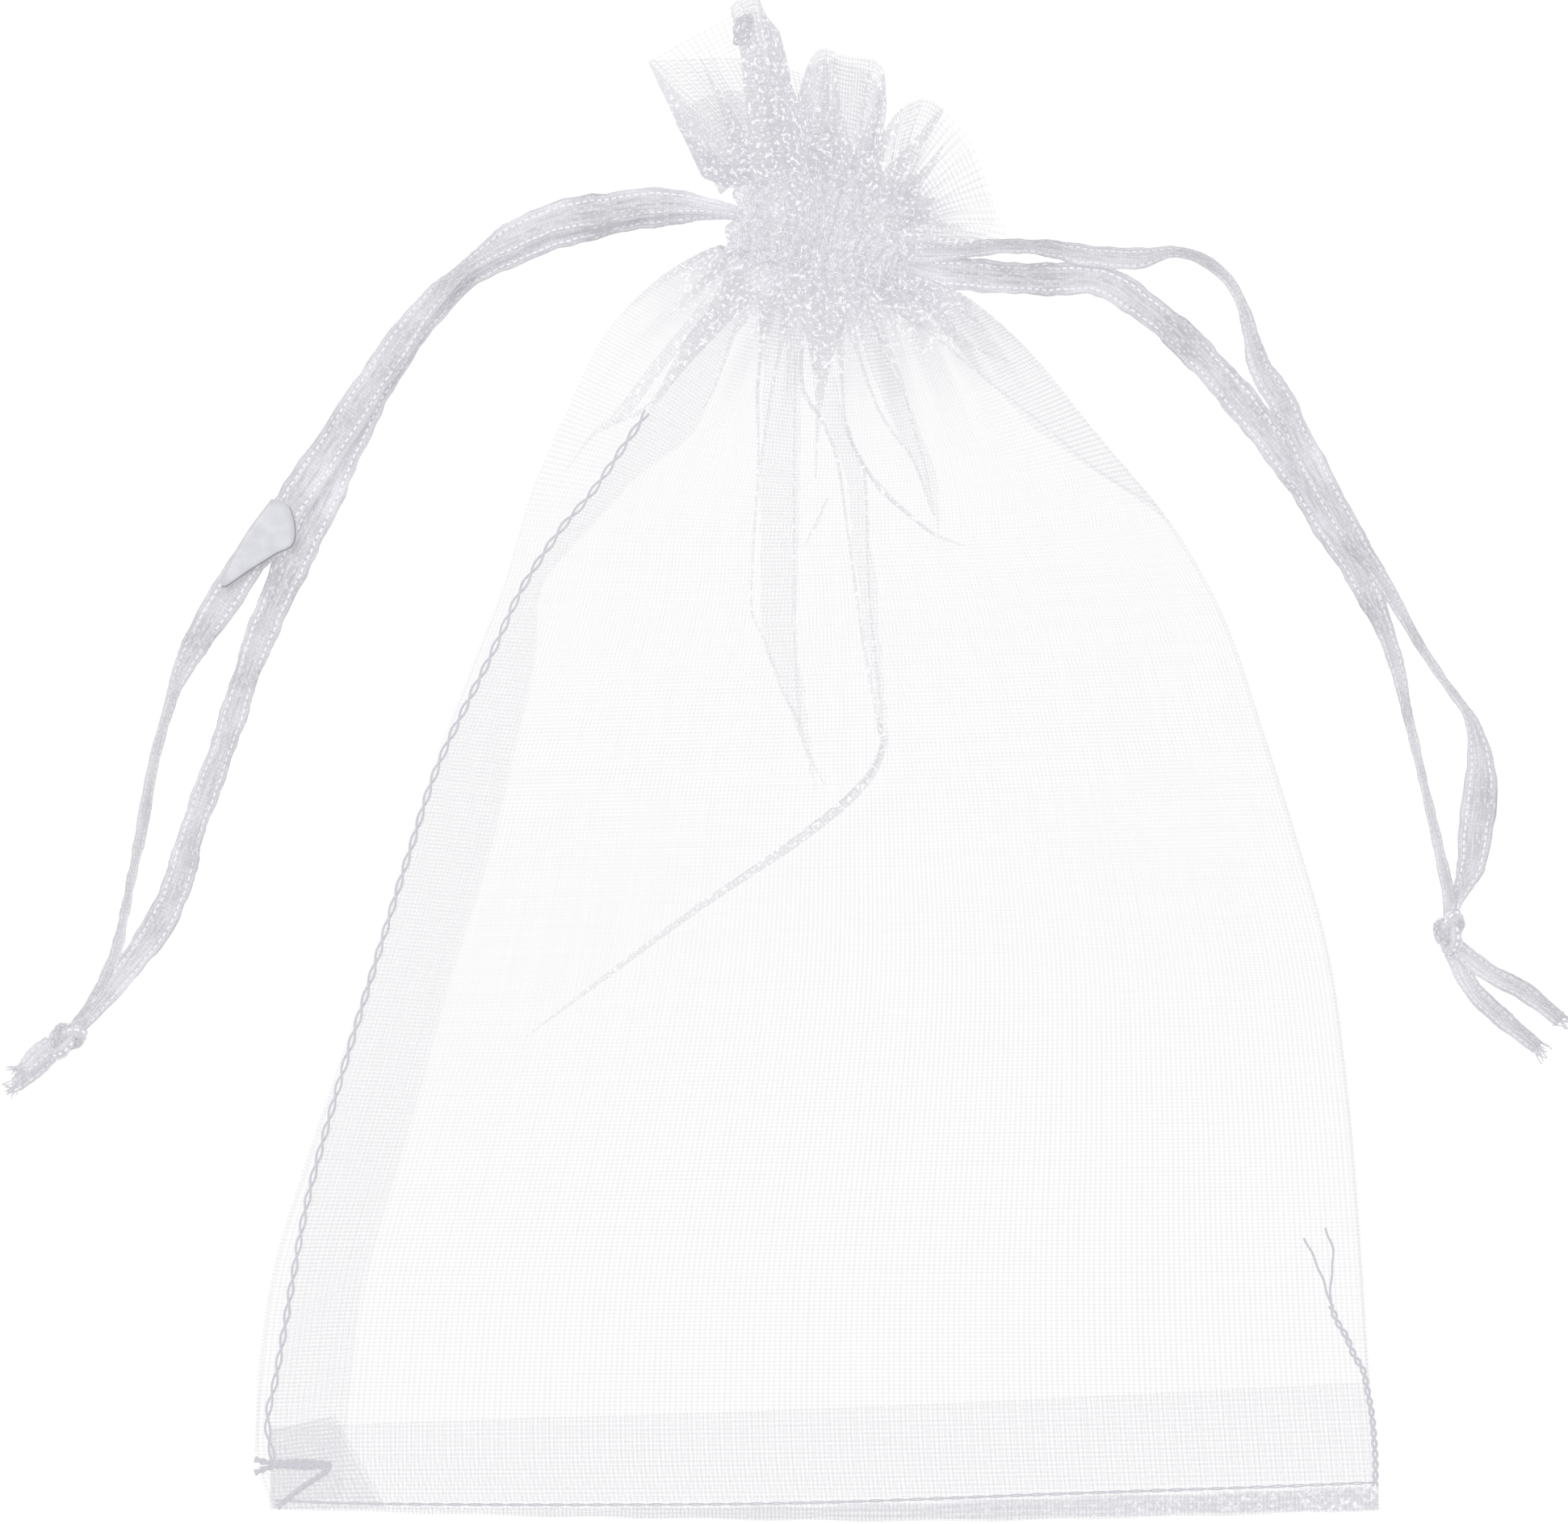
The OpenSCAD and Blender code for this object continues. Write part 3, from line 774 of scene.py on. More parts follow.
def plain_mesh(name, carrier):
    """The evaluated shape of carrier as a plain mesh object called name."""
    bpy.context.view_layer.update()
    shape = bpy.data.meshes.new_from_object(carrier.evaluated_get(bpy.context.evaluated_depsgraph_get()))
    shape.name = name
    piece = placed(name, shape)
    bpy.data.objects.remove(carrier)
    shape.polygons.foreach_set("use_smooth", np.ones(len(shape.polygons), bool))
    return piece


def lay_thread(name, paths, tree, material, radius=0.1, twist=0.13, twist_length=4.2, step=0.35):
    """Thread along each path of points in mm, made by the node tree."""
    vertices, edges = [], []
    for path in paths:
        first = len(vertices)
        vertices += [tuple(np.array(p) * MM) for p in path]
        edges += [(first + i, first + i + 1) for i in range(len(path) - 1)]
    mesh = bpy.data.meshes.new(name + "_path")
    mesh.from_pydata(vertices, edges, [])
    carrier = placed(name + "_path", mesh)
    modifier = carrier.modifiers.new("thread", "NODES")
    modifier.node_group = tree
    values = {"Thread radius": radius * MM, "Twist radius": twist * MM, "Twist length": twist_length * MM,
              "Step": step * MM, "Material": material}
    for item in tree.interface.items_tree:
        if item.in_out == "INPUT" and item.name in values:
            modifier[item.identifier] = values[item.name]
    return plain_mesh(name, carrier)


def sewing_thread(name, painted_glow):
    """Matt white polyester thread. Its emission is painted glow that keeps it pale in shade; where it lies
    deep in the gathers it gets more of it.
    """
    material, shader, tool = new_material(name, Roughness=0.6, Emission_Strength=1.0,
                                          Emission_Color=(painted_glow, painted_glow, painted_glow * 1.05, 1))
    colour = object_noise(tool, 9000.0, 2.0).mix((0.35, 0.35, 0.38), (0.62, 0.62, 0.65))
    link(material, colour, shader.inputs["Base Color"])
    return material


# ---------------------------------------------------------------- ribbons


def ribbon_cloth(name, painted_glow):
    """Soft woven ribbon: rows of short bright floats lengthwise, and light picks across. Its colour also
    carries painted sheen streaks and highlight patches, and is its emission too, a painted glow.
    """
    material, shader, tool = new_material(name, Sheen_Weight=0.15, Emission_Strength=painted_glow)
    uv, across, along = thread_coordinates(tool)
    streak = thread_noise(tool, uv, (3.5, 0.25), Detail=3.0)
    patch = thread_noise(tool, uv, (0.1, 0.13), Detail=4.0)
    grain = thread_noise(tool, uv, (2.9, 1.5), Detail=1.0)
    pitch = 0.31
    row = tool.do("FLOOR", across / pitch)
    float_at = along + row * 0.37 + streak * 0.25
    floats = across.yarn(pitch, 0.16) * float_at.yarn(0.74, 0.46) * grain.step(0.44, 0.56)
    picks = along.yarn(0.33, 0.16) * grain.step(0.4, 0.6)
    edge = tool.do("ABSOLUTE", across)
    dots = 1 - tool.do("ABSOLUTE", edge - 1.0).step(0.04, 0.14)
    dots = dots * along.yarn(0.66, 0.42) * patch.step(0.34, 0.46)
    light = tool.do("MAXIMUM", dots * 0.92, floats * 0.55)
    # The streaks and patches lighten and darken the colour as painted sheen and painted highlights; the
    # streaks also give real roughness and relief below.
    shade = streak * 0.75 + picks * 0.16 + (patch - 0.5) * 1.1 + edge.step(1.2, 1.6) * 0.08 - 0.12
    shade = tool.do("MAXIMUM", tool.do("MINIMUM", tool.do("MAXIMUM", shade, light), 1.0), 0.0)
    colour = shade.mix((0.47, 0.465, 0.49), (0.9, 0.895, 0.93))
    link(material, colour, shader.inputs["Base Color"])
    # Painted glow: the ribbon's colour is also its emission, so it stays pale in shade.
    link(material, colour, shader.inputs["Emission Color"])
    relief = floats * 0.6 + picks * 0.5 + streak * 0.4
    bump = tool.add("ShaderNodeBump", Strength=0.4, Distance=0.00004, Height=relief)
    link(material, bump, shader.inputs["Normal"])
    link(material, 0.35 + streak * 0.25, shader.inputs["Roughness"])
    return material


def satin_side(name, dark, light):
    """The ribbon's plain side, which shows where it is folded over: smooth and a little darker. Its colour
    is also its emission, a painted glow; in darker tones it makes the painted shadow under the fold.
    """
    material, shader, tool = new_material(name, Roughness=0.35, Emission_Strength=0.4)
    grain = object_noise(tool, 700.0, 3.0)
    colour = grain.mix((dark, dark, dark + 0.03), (light, light, light + 0.03))
    link(material, colour, shader.inputs["Base Color"])
    link(material, colour, shader.inputs["Emission Color"])
    return material


RIBBON_WIDTH = 3.2


def ribbon_strip(name, path, material, thickness=0.13, columns=9, curl=0.05):
    """A closed flat ribbon along path: x, y, z, roll in degrees and share of its full width."""
    centre, roll, width = path[:, :3].copy(), np.radians(path[:, 3]), path[:, 4] * RIBBON_WIDTH
    centre[:, 2] = np.maximum(centre[:, 2], 0.16 + width / 2 * np.abs(np.sin(roll)))
    ahead = unit(np.gradient(centre, axis=0))
    level = unit(np.stack([-ahead[:, 1], ahead[:, 0], np.zeros(len(ahead))], axis=1))
    above = np.cross(ahead, level)
    side = np.cos(roll)[:, None] * level + np.sin(roll)[:, None] * above
    face = np.cross(ahead, side)
    far = distances(centre)
    waves = ((0.05, 0.9, 1), (0.035, 2.3, 2), (0.02, 7.1, 0))
    width = width * (1 + sum(a * np.sin(f * far + p) for a, f, p in waves))
    share = np.linspace(-1, 1, columns)
    ripple = 0.05 * np.sin(far * 2.1 + share[:, None] * 2.0) + 0.03 * np.sin(far * 5.3 - share[:, None])
    rings = []
    for sign, order in ((1, range(columns)), (-1, range(columns - 1, -1, -1))):
        for k in order:
            a = share[k]
            thick = thickness / 2 * (1 - 0.5 * abs(a) ** 6)
            lift = curl * a * a + ripple[k] + sign * thick
            rings.append((centre + side * (a * width / 2)[:, None] + face * lift[:, None], a, sign))
    points = np.stack([r[0] for r in rings], axis=1)
    points[..., 2] = np.maximum(points[..., 2], 0.03)
    around = len(rings)
    count = len(centre)
    faces, uvs = [], []

    def place(i, k):
        return rings[k % around][1] * RIBBON_WIDTH / 2, far[i]

    for i in range(count - 1):
        for k in range(around):
            n = (k + 1) % around
            faces.append((i * around + k, i * around + n, (i + 1) * around + n, (i + 1) * around + k))
            uvs += [place(i, k), place(i, n), place(i + 1, n), place(i + 1, k)]
    faces.append(tuple(range(around - 1, -1, -1)))
    uvs += [place(0, k) for k in range(around - 1, -1, -1)]
    faces.append(tuple((count - 1) * around + k for k in range(around)))
    uvs += [place(count - 1, k) for k in range(around)]
    return closed_piece(name, points, faces, material, uvs), centre


# Each free strand from the neck to its knot: x, y, height, roll and share of full width
LEFT_OUTER = [(-6.6, 49.2, 2.1, 20, 0.3), (-9, 49.7, 2.1, 15, 0.45), (-12, 50.1, 2.1, 5, 0.7),
              (-15.5, 50.1, 2.0, 0, 0.85), (-19, 49.5, 1.6, 0, 0.95), (-23.2, 48.8, 1.2, 0, 0.95),
              (-27, 47.2, 1.0, 0, 0.85), (-30, 45.4, 0.9, 30, 0.65), (-32.3, 43.6, 0.9, 40, 0.55),
              (-34.7, 41.3, 0.9, 15, 0.65), (-37.3, 37.8, 0.8, 0, 0.85), (-40.3, 33.4, 0.8, 0, 0.9),
              (-43.3, 28.8, 0.8, 0, 0.95), (-46.2, 24.5, 0.8, 0, 1), (-49, 20.5, 0.8, 0, 1),
              (-51, 18, 0.5, 0, 1), (-53.2, 14.6, 0.3, 0, 0.95), (-55.5, 11, 0.3, 0, 0.8),
              (-57.3, 7.5, 0.4, -30, 0.5), (-58.5, 3.8, 0.5, -50, 0.42), (-59.5, 0.2, 0.5, -50, 0.42),
              (-60.2, -3.5, 0.5, -50, 0.45), (-60.8, -7, 0.5, -50, 0.45), (-61.6, -10.7, 0.6, -60, 0.4),
              (-62.3, -14.3, 0.6, -50, 0.38), (-63.2, -18, 0.8, -40, 0.45),
              (-64.8, -21.4, 1.0, -30, 0.45), (-66.3, -23.6, 1.3, -20, 0.4), (-67.5, -25, 1.4, 0, 0.35)]
LEFT_INNER = [(-6.6, 49, 1.4, -20, 0.3), (-9, 49.3, 1.4, -10, 0.4), (-12, 49.4, 1.4, -5, 0.7),
              (-15.6, 49.2, 1.3, 0, 0.85), (-19, 48.6, 0.9, 0, 0.9), (-23, 47.5, 0.5, 0, 0.85),
              (-26.8, 46, 0.3, 0, 0.8), (-29.8, 44.4, 0.2, 0, 0.65), (-32, 42.8, 0.2, 0, 0.55),
              (-34.2, 40.6, 0.2, 0, 0.65), (-36.9, 37.4, 0.2, 0, 0.75), (-39.6, 33.2, 0.2, 0, 0.85),
              (-41.6, 29.5, 0.2, 0, 0.95), (-43.2, 26, 0.2, 0, 1), (-45.1, 21.8, 0.2, 0, 1),
              (-47, 18, 0.2, 0, 1), (-48.5, 14.7, 0.2, 0, 0.95), (-50, 11.1, 0.2, 0, 0.85),
              (-51.3, 7.5, 0.2, 10, 0.75), (-52.5, 3.8, 0.2, 0, 0.75), (-53.8, 0, 0.2, 0, 0.72),
              (-55.1, -3.5, 0.2, 0, 0.75), (-56.3, -7, 0.2, 10, 0.72), (-57.3, -10.7, 0.2, 0, 0.85),
              (-59, -14.5, 0.3, 0, 0.85), (-61.4, -17.9, 0.4, 0, 0.75), (-63.7, -20.8, 0.8, 0, 0.6),
              (-66, -23.6, 1.4, 0, 0.45), (-67.2, -25, 1.3, 0, 0.35)]
RIGHT_OUTER = [(7.4, 45.7, 3.9, 20, 0.5), (10.2, 45.6, 3.9, 20, 0.55), (13, 45.8, 3.8, 25, 0.5),
               (16.5, 46.2, 3.2, 35, 0.48), (20.5, 46.1, 2.4, 30, 0.5), (24.5, 45.4, 1.7, 20, 0.65),
               (28.8, 45.2, 1.2, 20, 0.6), (32.1, 45.8, 1.3, 40, 0.4), (34.9, 45, 1.4, 40, 0.38),
               (37.1, 43.1, 1.4, 40, 0.38), (38.4, 40.6, 1.3, 40, 0.42), (39.1, 38, 1.1, 30, 0.5),
               (39.9, 35.3, 0.9, 10, 0.7), (41.8, 32.3, 0.9, 0, 0.75), (43.6, 28.4, 0.9, 0, 0.8),
               (45.9, 24, 0.9, 0, 0.82), (48.4, 19.8, 0.8, 0, 0.65), (50.4, 17, 0.8, 20, 0.5),
               (52.4, 13.7, 0.7, 30, 0.38), (54.3, 10.4, 0.6, 30, 0.3), (56.6, 7, 0.6, 30, 0.27),
               (58.6, 4.2, 0.5, 20, 0.33), (59.4, 1.8, 0.3, 0, 0.55), (59.7, -0.8, 0.3, 0, 0.88),
               (59.6, -3.2, 0.3, 0, 0.97), (59.2, -6.3, 0.3, 0, 0.97), (58.9, -8.9, 0.5, 0, 0.85),
               (58.2, -10.9, 0.8, 10, 0.55), (57.3, -12.8, 1.3, 20, 0.38), (56.9, -15, 1.4, 0, 0.35)]
RIGHT_INNER = [(7.2, 44.7, 3.2, 0, 0.75), (10, 43.9, 3.2, 0, 0.95), (13, 43.7, 3.1, 0, 0.9),
               (17, 43.4, 2.4, 0, 0.9), (21, 43.3, 1.3, 0, 0.9), (24.3, 43.4, 0.6, 0, 0.9),
               (26.8, 42.7, 0.3, 0, 0.9), (29.3, 41, 0.2, 0, 0.87), (32.1, 38.8, 0.2, 0, 0.9),
               (34.9, 36, 0.2, 0, 0.93), (37.6, 33, 0.2, 0, 0.96), (40.1, 29.9, 0.2, 0, 0.96),
               (43.2, 25.8, 0.2, 0, 0.92), (45.6, 21.9, 0.2, 0, 0.9), (48, 18.2, 0.2, 0, 0.86),
               (49.8, 14.8, 0.2, 0, 0.72), (51.2, 11.5, 0.2, 0, 0.52), (52.3, 8.1, 0.3, 10, 0.4),
               (53, 4.8, 0.3, 20, 0.32), (53.8, 1.5, 0.4, 30, 0.28), (54.7, -2.4, 0.4, 30, 0.27),
               (55.6, -6.3, 0.5, 30, 0.31), (56.3, -9.6, 0.9, 20, 0.35), (56.8, -12.2, 1.4, 20, 0.36),
               (56.8, -15, 1.3, 0, 0.35)]
STRANDS = {"left_outer_strand": LEFT_OUTER, "left_inner_strand": LEFT_INNER,
           "right_outer_strand": RIGHT_OUTER, "right_inner_strand": RIGHT_INNER}
# Where the left outer strand is folded over on itself
LEFT_FOLD = [(-48.9, 23.6), (-47.6, 23.2), (-46.9, 21.6), (-47, 19.6), (-48.6, 18.7), (-51, 17.2),
             (-53.4, 15.7), (-52.6, 18), (-51, 20.8)]
KNOTS = {"left": ((-67.4, -24.9, 1.35), 215), "right": ((56.8, -15.2, 1.35), 262)}
TAILS = {
    "left_long_tail": [(-68.2, -25.6, 0.9), (-69.6, -27, 0.6), (-70.8, -28.2, 0.4), (-71.9, -29, 0.35)],
    "left_short_tail": [(-68.6, -25.3, 1.5), (-69.9, -26.3, 1.3), (-70.5, -26.9, 1.1), (-71.2, -27.6, 1.0)],
    "right_long_tail": [(57.5, -16.7, 1.3), (60.4, -18.9, 0.9), (63.6, -20.6, 0.6), (66.9, -23.2, 0.4)],
    "right_short_tail": [(57.1, -16.9, 0.9), (58.9, -20.3, 0.5), (61.4, -22.8, 0.4), (64.8, -25.6, 0.35)],
}


def knot_mesh(name, centre, heading, material):
    """An overhand knot of crumpled ribbon: a tube of folded cloth along a trefoil."""
    count, around = 96, 14
    t = np.linspace(0, 2 * math.pi, count, endpoint=False)
    line = np.stack([np.sin(t) + 2 * np.sin(2 * t), np.cos(t) - 2 * np.cos(2 * t), -np.sin(3 * t)], axis=1)
    line *= np.array([0.56, 0.34, 0.4])
    ahead = unit(np.roll(line, -1, axis=0) - np.roll(line, 1, axis=0))
    out = unit(line - (line * ahead).sum(1)[:, None] * ahead)
    side = np.cross(ahead, out)
    spin = np.linspace(0, 2 * math.pi, around, endpoint=False)
    crumple = 1 + 0.16 * np.sin(3 * spin[None] + 5 * t[:, None])
    crumple = crumple + 0.08 * np.sin(5 * spin[None] - 9 * t[:, None])
    ring = 0.62 * crumple[..., None] * (np.cos(spin)[None, :, None] * out[:, None] * 0.75
                                        + np.sin(spin)[None, :, None] * side[:, None] * 1.15)
    points = line[:, None] + ring
    turn = math.radians(heading)
    c, s = math.cos(turn), math.sin(turn)
    x, y = points[..., 0] * c - points[..., 1] * s, points[..., 0] * s + points[..., 1] * c
    z = np.maximum(points[..., 2] + centre[2], 0.05)
    points = np.stack([x + centre[0], y + centre[1], z], axis=-1).reshape(-1, 3)
    faces, uvs = [], []
    for i in range(count):
        for k in range(around):
            n, j = (k + 1) % around, (i + 1) % count
            faces.append((i * around + k, j * around + k, j * around + n, i * around + n))
            w = 2.4 / around
            uvs += [(k * w - 1.2, i * 0.2), (k * w - 1.2, (i + 1) * 0.2),
                    ((k + 1) * w - 1.2, (i + 1) * 0.2), ((k + 1) * w - 1.2, i * 0.2)]
    return closed_piece(name, points, faces, material, uvs)


def folded_flap(name, outline, height, material, thickness=0.1):
    """A small closed patch of ribbon folded over: an outline in mm with a domed top."""
    rim = smooth_path(list(outline) + [outline[0]], 49)[:-1]
    middle = rim.mean(axis=0)
    points, count = [], len(rim)
    for side in (1, -1):
        for share in (1, 0.75, 0.45, 0.15):
            lift = height + side * thickness / 2 + 0.12 * (1 - share**2)
            points += [(x, y, lift) for x, y in middle + (rim - middle) * share]
    faces = []
    for side in (0, 1):
        base = side * 4 * count
        for k in range(3):
            for i in range(count):
                j = (i + 1) % count
                faces.append([base + k * count + i, base + k * count + j, base + (k + 1) * count + j,
                              base + (k + 1) * count + i])
        faces.append([base + 3 * count + i for i in range(count)])
    faces += [[i, (i + 1) % count, 4 * count + (i + 1) % count, 4 * count + i] for i in range(count)]
    return closed_piece(name, points, faces, material)


def frayed_ends(name, tip, heading, tree, material, count=16, spread=38, reach=1.4):
    """Loose yarns at the cut end of a tail."""
    paths = []
    for _ in range(count):
        way = math.radians(heading + rng.uniform(-spread, spread))
        turn = math.radians(heading)
        root = np.array(tip[:2]) + np.array([-math.sin(turn), math.cos(turn)]) * rng.uniform(-0.55, 0.55)
        far = reach * rng.uniform(0.4, 1)
        bend = rng.uniform(-0.5, 0.5)
        path = []
        for t in np.linspace(-0.4, 1, 6):
            x, y = root + far * t * np.array([math.cos(way + bend * t), math.sin(way + bend * t)])
            path.append((x, y, max(tip[2] + rng.uniform(-0.1, 0.1) - 0.15 * max(t, 0), 0.08)))
        paths.append(path)
    return lay_thread(name, paths, tree, material, radius=0.045, twist=0.0, twist_length=2, step=0.3)


# ---------------------------------------------------------------- the frill


# The frill's parts: name, body, CAD node, width of the cloth in mm and its flat size in m, then its
# sheets (foot, rim, heights, pleats, depth and options) and its rays (x, y, width)
FRILL_PARTS = [
    ("frill_left", "pouch_back", "frill_left_lobe", 80, (0.064, 0.0135), [
        ((-8.8, -1, 2, 3.6), [(-10.2, 52.2), (-12.6, 57.4), (-14.8, 62.2), (-15, 62.7), (-14.5, 62.9),
                              (-11.5, 64.6), (-7.9, 66.6), (-5.4, 68.3), (-3.6, 64), (-1.6, 59)],
         (3.2, 4.5), 9, 0.8, {"seed": 3, "keep": 0.35}),
        ((-8.8, -1, 2, 3.6), [(-10.2, 52.2), (-12.6, 57.3), (-14.9, 62.3), (-14.3, 62.7), (-12.3, 62.8),
                              (-6.8, 62.9), (-2.5, 61.9), (-1.2, 61.5)],
         (4.4, 6), 8, 0.8, {"seed": 4, "keep": 0.3}),
        ((-8.8, -3, 2, 3.6), [(-10.2, 52.2), (-11.4, 54.8), (-12.6, 57.4), (-12, 57.9), (-10.1, 59.1),
                              (-7.9, 59.8), (-6.5, 59.6), (-4, 58.6)],
         (5.4, 7.4), 7, 0.8, {"seed": 5, "keep": 0.35}),
    ], [
        [(-6.6, 52, 3.5), (-6.9, 55, 2.2), (-8, 58, 1), (-9.5, 61, 0.4), (-10.4, 62.8, 0.12)],
        [(-4.4, 52.5, 3), (-4, 56, 1.8), (-3.3, 60, 0.7), (-2.6, 61.8, 0.2)],
        [(-7.6, 51.5, 2.6), (-9.4, 53.6, 1.3), (-11.4, 55.4, 0.4), (-12.6, 57, 0.12)],
    ]),
    ("frill_centre", "pouch_back", "frill_centre_lobe", 68, (0.048, 0.0135), [
        ((-2.4, 3.6), [(-1.7, 59.6), (-0.6, 62.7), (0.6, 63.8), (2.5, 63.2), (5.7, 62.4), (6.3, 58.9)],
         (3, 4.6), 7, 0.75, {"seed": 6, "keep": 0.6}),
        ((-2, 3.8), [(-1.5, 60), (0, 62.4), (2, 62.6), (4.6, 61.6), (5.8, 59.4), (5.2, 55.8)],
         (4.2, 6), 8, 0.8, {"seed": 7, "keep": 0.7}),
    ], [
        [(0.4, 51.5, 3.4), (0.5, 55, 2.4), (0.7, 59, 1.1), (0.8, 62, 0.5), (0.9, 63.6, 0.15)],
        [(2.2, 51, 3.2), (2, 54, 2.6), (1.8, 57.5, 1.4), (1.7, 60.6, 0.2)],
        [(3.6, 51, 3), (4.2, 54, 2), (5, 57, 0.9), (5.7, 60, 0.2)],
    ]),
    ("frill_spike_fold", "pouch_front", "frill_spike", 30, (0.02, 0.0145), [
        ((-6, -2.4), [(-7.8, 66.9), (-7.2, 67.8), (-5.4, 68.4), (-4.6, 66.7), (-3.3, 65.1)],
         (8, 8.2), 4, 0.5, {"seed": 8, "keep": 0.6, "columns": 60}),
        ((-5, -1.8), [(-6.2, 67), (-4.8, 66.6), (-3.4, 65.1), (-2.5, 62), (-2.1, 59.6)],
         (7, 7.4), 4, 0.5, {"seed": 9, "keep": 0.6, "columns": 60}),
    ], [
        [(-4.4, 52, 3), (-4.8, 56, 2.6), (-5.4, 60, 2.2), (-6, 64, 1.7), (-6.4, 66.6, 0.9)],
        [(-2.6, 52, 2.6), (-3, 56, 1.6), (-3.8, 61, 0.8), (-4.4, 66, 0.3)],
    ]),
    ("frill_small", "pouch_front", "frill_small_lobe", 16, (0.0125, 0.0105), [
        ((3.4, 6), [(5.3, 55.3), (7.3, 58), (8.8, 58.9), (9.9, 59.1), (11.5, 58.2)],
         (8, 8.4), 6, 0.75, {"seed": 10, "keep": 0.4, "columns": 90}),
    ], [
        [(5.2, 50.6, 2.6), (6.8, 52.3, 1.7), (8.8, 54.8, 1.1), (10.4, 57, 0.7), (11.2, 58, 0.4)],
        [(4.4, 51, 2), (5.6, 54, 0.9), (6.6, 56.4, 0.3)],
    ]),
    ("frill_fan", "pouch_front", "frill_right_fan", 24, (0.0245, 0.011), [
        ((4.6, 8.8, 3.6, 0.2), [(11.5, 58.2), (12.9, 56.6), (13.9, 55.3), (15.2, 52), (16.1, 49.1),
                                (16.8, 46.9), (13, 46.2), (9.6, 46.2)],
         (6.4, 6.6), 8, 0.6, {"seed": 11, "keep": 0.3}),
        ((5, 8.8, 3.6, 0.4), [(11, 57.6), (13.6, 55), (15, 51.6), (16, 48.6), (14.6, 46.7),
                              (10.6, 46.8)],
         (5.4, 5), 6, 0.6, {"seed": 12, "keep": 0.3}),
    ], [
        [(7, 50, 3.4), (8.6, 51.4, 1.5), (10, 53, 0.7), (11.3, 55, 0.15)],
        [(7.8, 49, 3.4), (9, 48.6, 1.6), (10.6, 48, 0.9), (13.4, 47.5, 0.15)],
    ]),
]


def frill_sheet(foot, rim, height, pleat_count, depth, rows=40, columns=110, keep=0.5, seed=1):
    """A fan of pleated cloth from the channel to its raw rim, as a grid of points in mm.
    foot is the stretch of channel it comes from, with how far up if not 3.6, and height its z
    at the foot and at the rim."""
    noise = np.random.default_rng(seed)
    edge = smooth_path(rim, columns)
    across = np.linspace(foot[0], foot[1], columns)
    root = from_neck(across, np.linspace(*(foot[2:] or (3.6, 3.6)), columns))
    up = np.linspace(0, 1, rows)[:, None]
    ease = up**0.85
    flat = root[None] * (1 - ease[..., None]) + edge[None] * ease[..., None]
    share = np.linspace(0, 1, columns)
    sways = ((0.05, 1.7), (0.02, 4.1))
    wander = sum(a * np.sin(2 * math.pi * (f * share + noise.random())) for a, f in sways)
    phase = 2 * math.pi * pleat_count * (share + wander)
    # pleats are deep at the foot and keep part of their depth at the rim
    size = depth * ((1 - keep) * (1 - up) ** 1.5 + keep)
    second = 0.3 * np.sin(2.3 * phase + 1 + 2 * up) * (1 - up)
    wave = np.cos(phase + 0.5 * np.sin(3 * up)) + second
    step = np.gradient(flat, axis=1)
    step /= np.maximum(np.linalg.norm(step, axis=2), 1e-6)[..., None]
    flat = flat + step * (size * 0.45 * np.sin(phase))[..., None]
    swell = 0.5 * np.sin(2 * up * math.pi) * (1 - up)
    z = height[0] * (1 - up) + height[1] * up + size * 0.8 * wave + swell
    return np.dstack([flat[..., 0], flat[..., 1], np.maximum(z, 0.3)])


def make_frill(name, body, node, width, flat, sheets, rays):
    """One part of the frill. Its rays are the dense bundles of pleats that run up it."""
    grids = [frill_sheet(*sheet[:5], **sheet[5]) for sheet in sheets]
    share = width / len(grids)
    places = [thread_places(grid, share, lengths(grid).sum(axis=0).mean()) for grid in grids]
    rise = [np.linspace(0, 12, len(grid))[:, None] for grid in grids]
    gathers = [gather_of(grid, place) * (1 + 1.3 * np.exp(-((up / 4) ** 2)))
               for grid, place, up in zip(grids, places, rise)]
    top = height_finder(np.vstack([grid.reshape(-1, 3) for grid in grids])[None])
    bundles = [pinched(ray, 3.4, top) for ray in rays]
    for grid, place, gather in bundles:
        grids.append(grid)
        places.append(place)
        gathers.append(gather)
    piece = merged(name, grids, places, gathers, FRILL)
    belongs(piece, body, node, "gathered_organza")


# ---------------------------------------------------------------- putting it together


def follow_both_layers(piece):
    """Bakes the piece's place into its mesh."""
    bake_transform(piece)


def add_cloth():
    """The pouch's cloth. Returns the grids of its front and back layer."""
    cloth, front, back = make_pouch_cloth(ORGANZA)
    follow_both_layers(cloth)
    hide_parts("back_panel", "front_panel", "back_neck", "front_neck")
    return front, back


def lay_flat(piece, node):
    """The piece is cloth turned in at a seam, on the back layer."""
    belongs(piece, "pouch_back", node, "organza")


def roll_grid(top, bottom, turns=2.6, rows=150, columns=56):
    """Cloth rolled up along the bottom edge and pressed flat, as a grid of points in mm."""
    a, b = smooth_path(top, rows), smooth_path(bottom, rows)
    middle, half = (a + b) / 2, np.linalg.norm(a - b, axis=1)[:, None] / 2
    turn = np.linspace(0, 2 * math.pi * turns, columns)[None]
    shrink = 1 - 0.42 * turn / turn.max()
    along = np.linspace(0, 1, rows)[:, None]
    twist = 0.5 * np.sin(9 * along) + 0.3 * np.sin(31 * along)
    y = middle[:, 1:] + half * shrink * np.cos(turn + twist) + 0.06 * np.sin(60 * along + turn)
    z = 0.62 + 0.5 * shrink * np.sin(turn + twist) + 0.05 * np.sin(47 * along + 2 * turn)
    x = middle[:, :1] + 0 * turn
    return np.dstack([x, y, np.maximum(z, 0.08)])


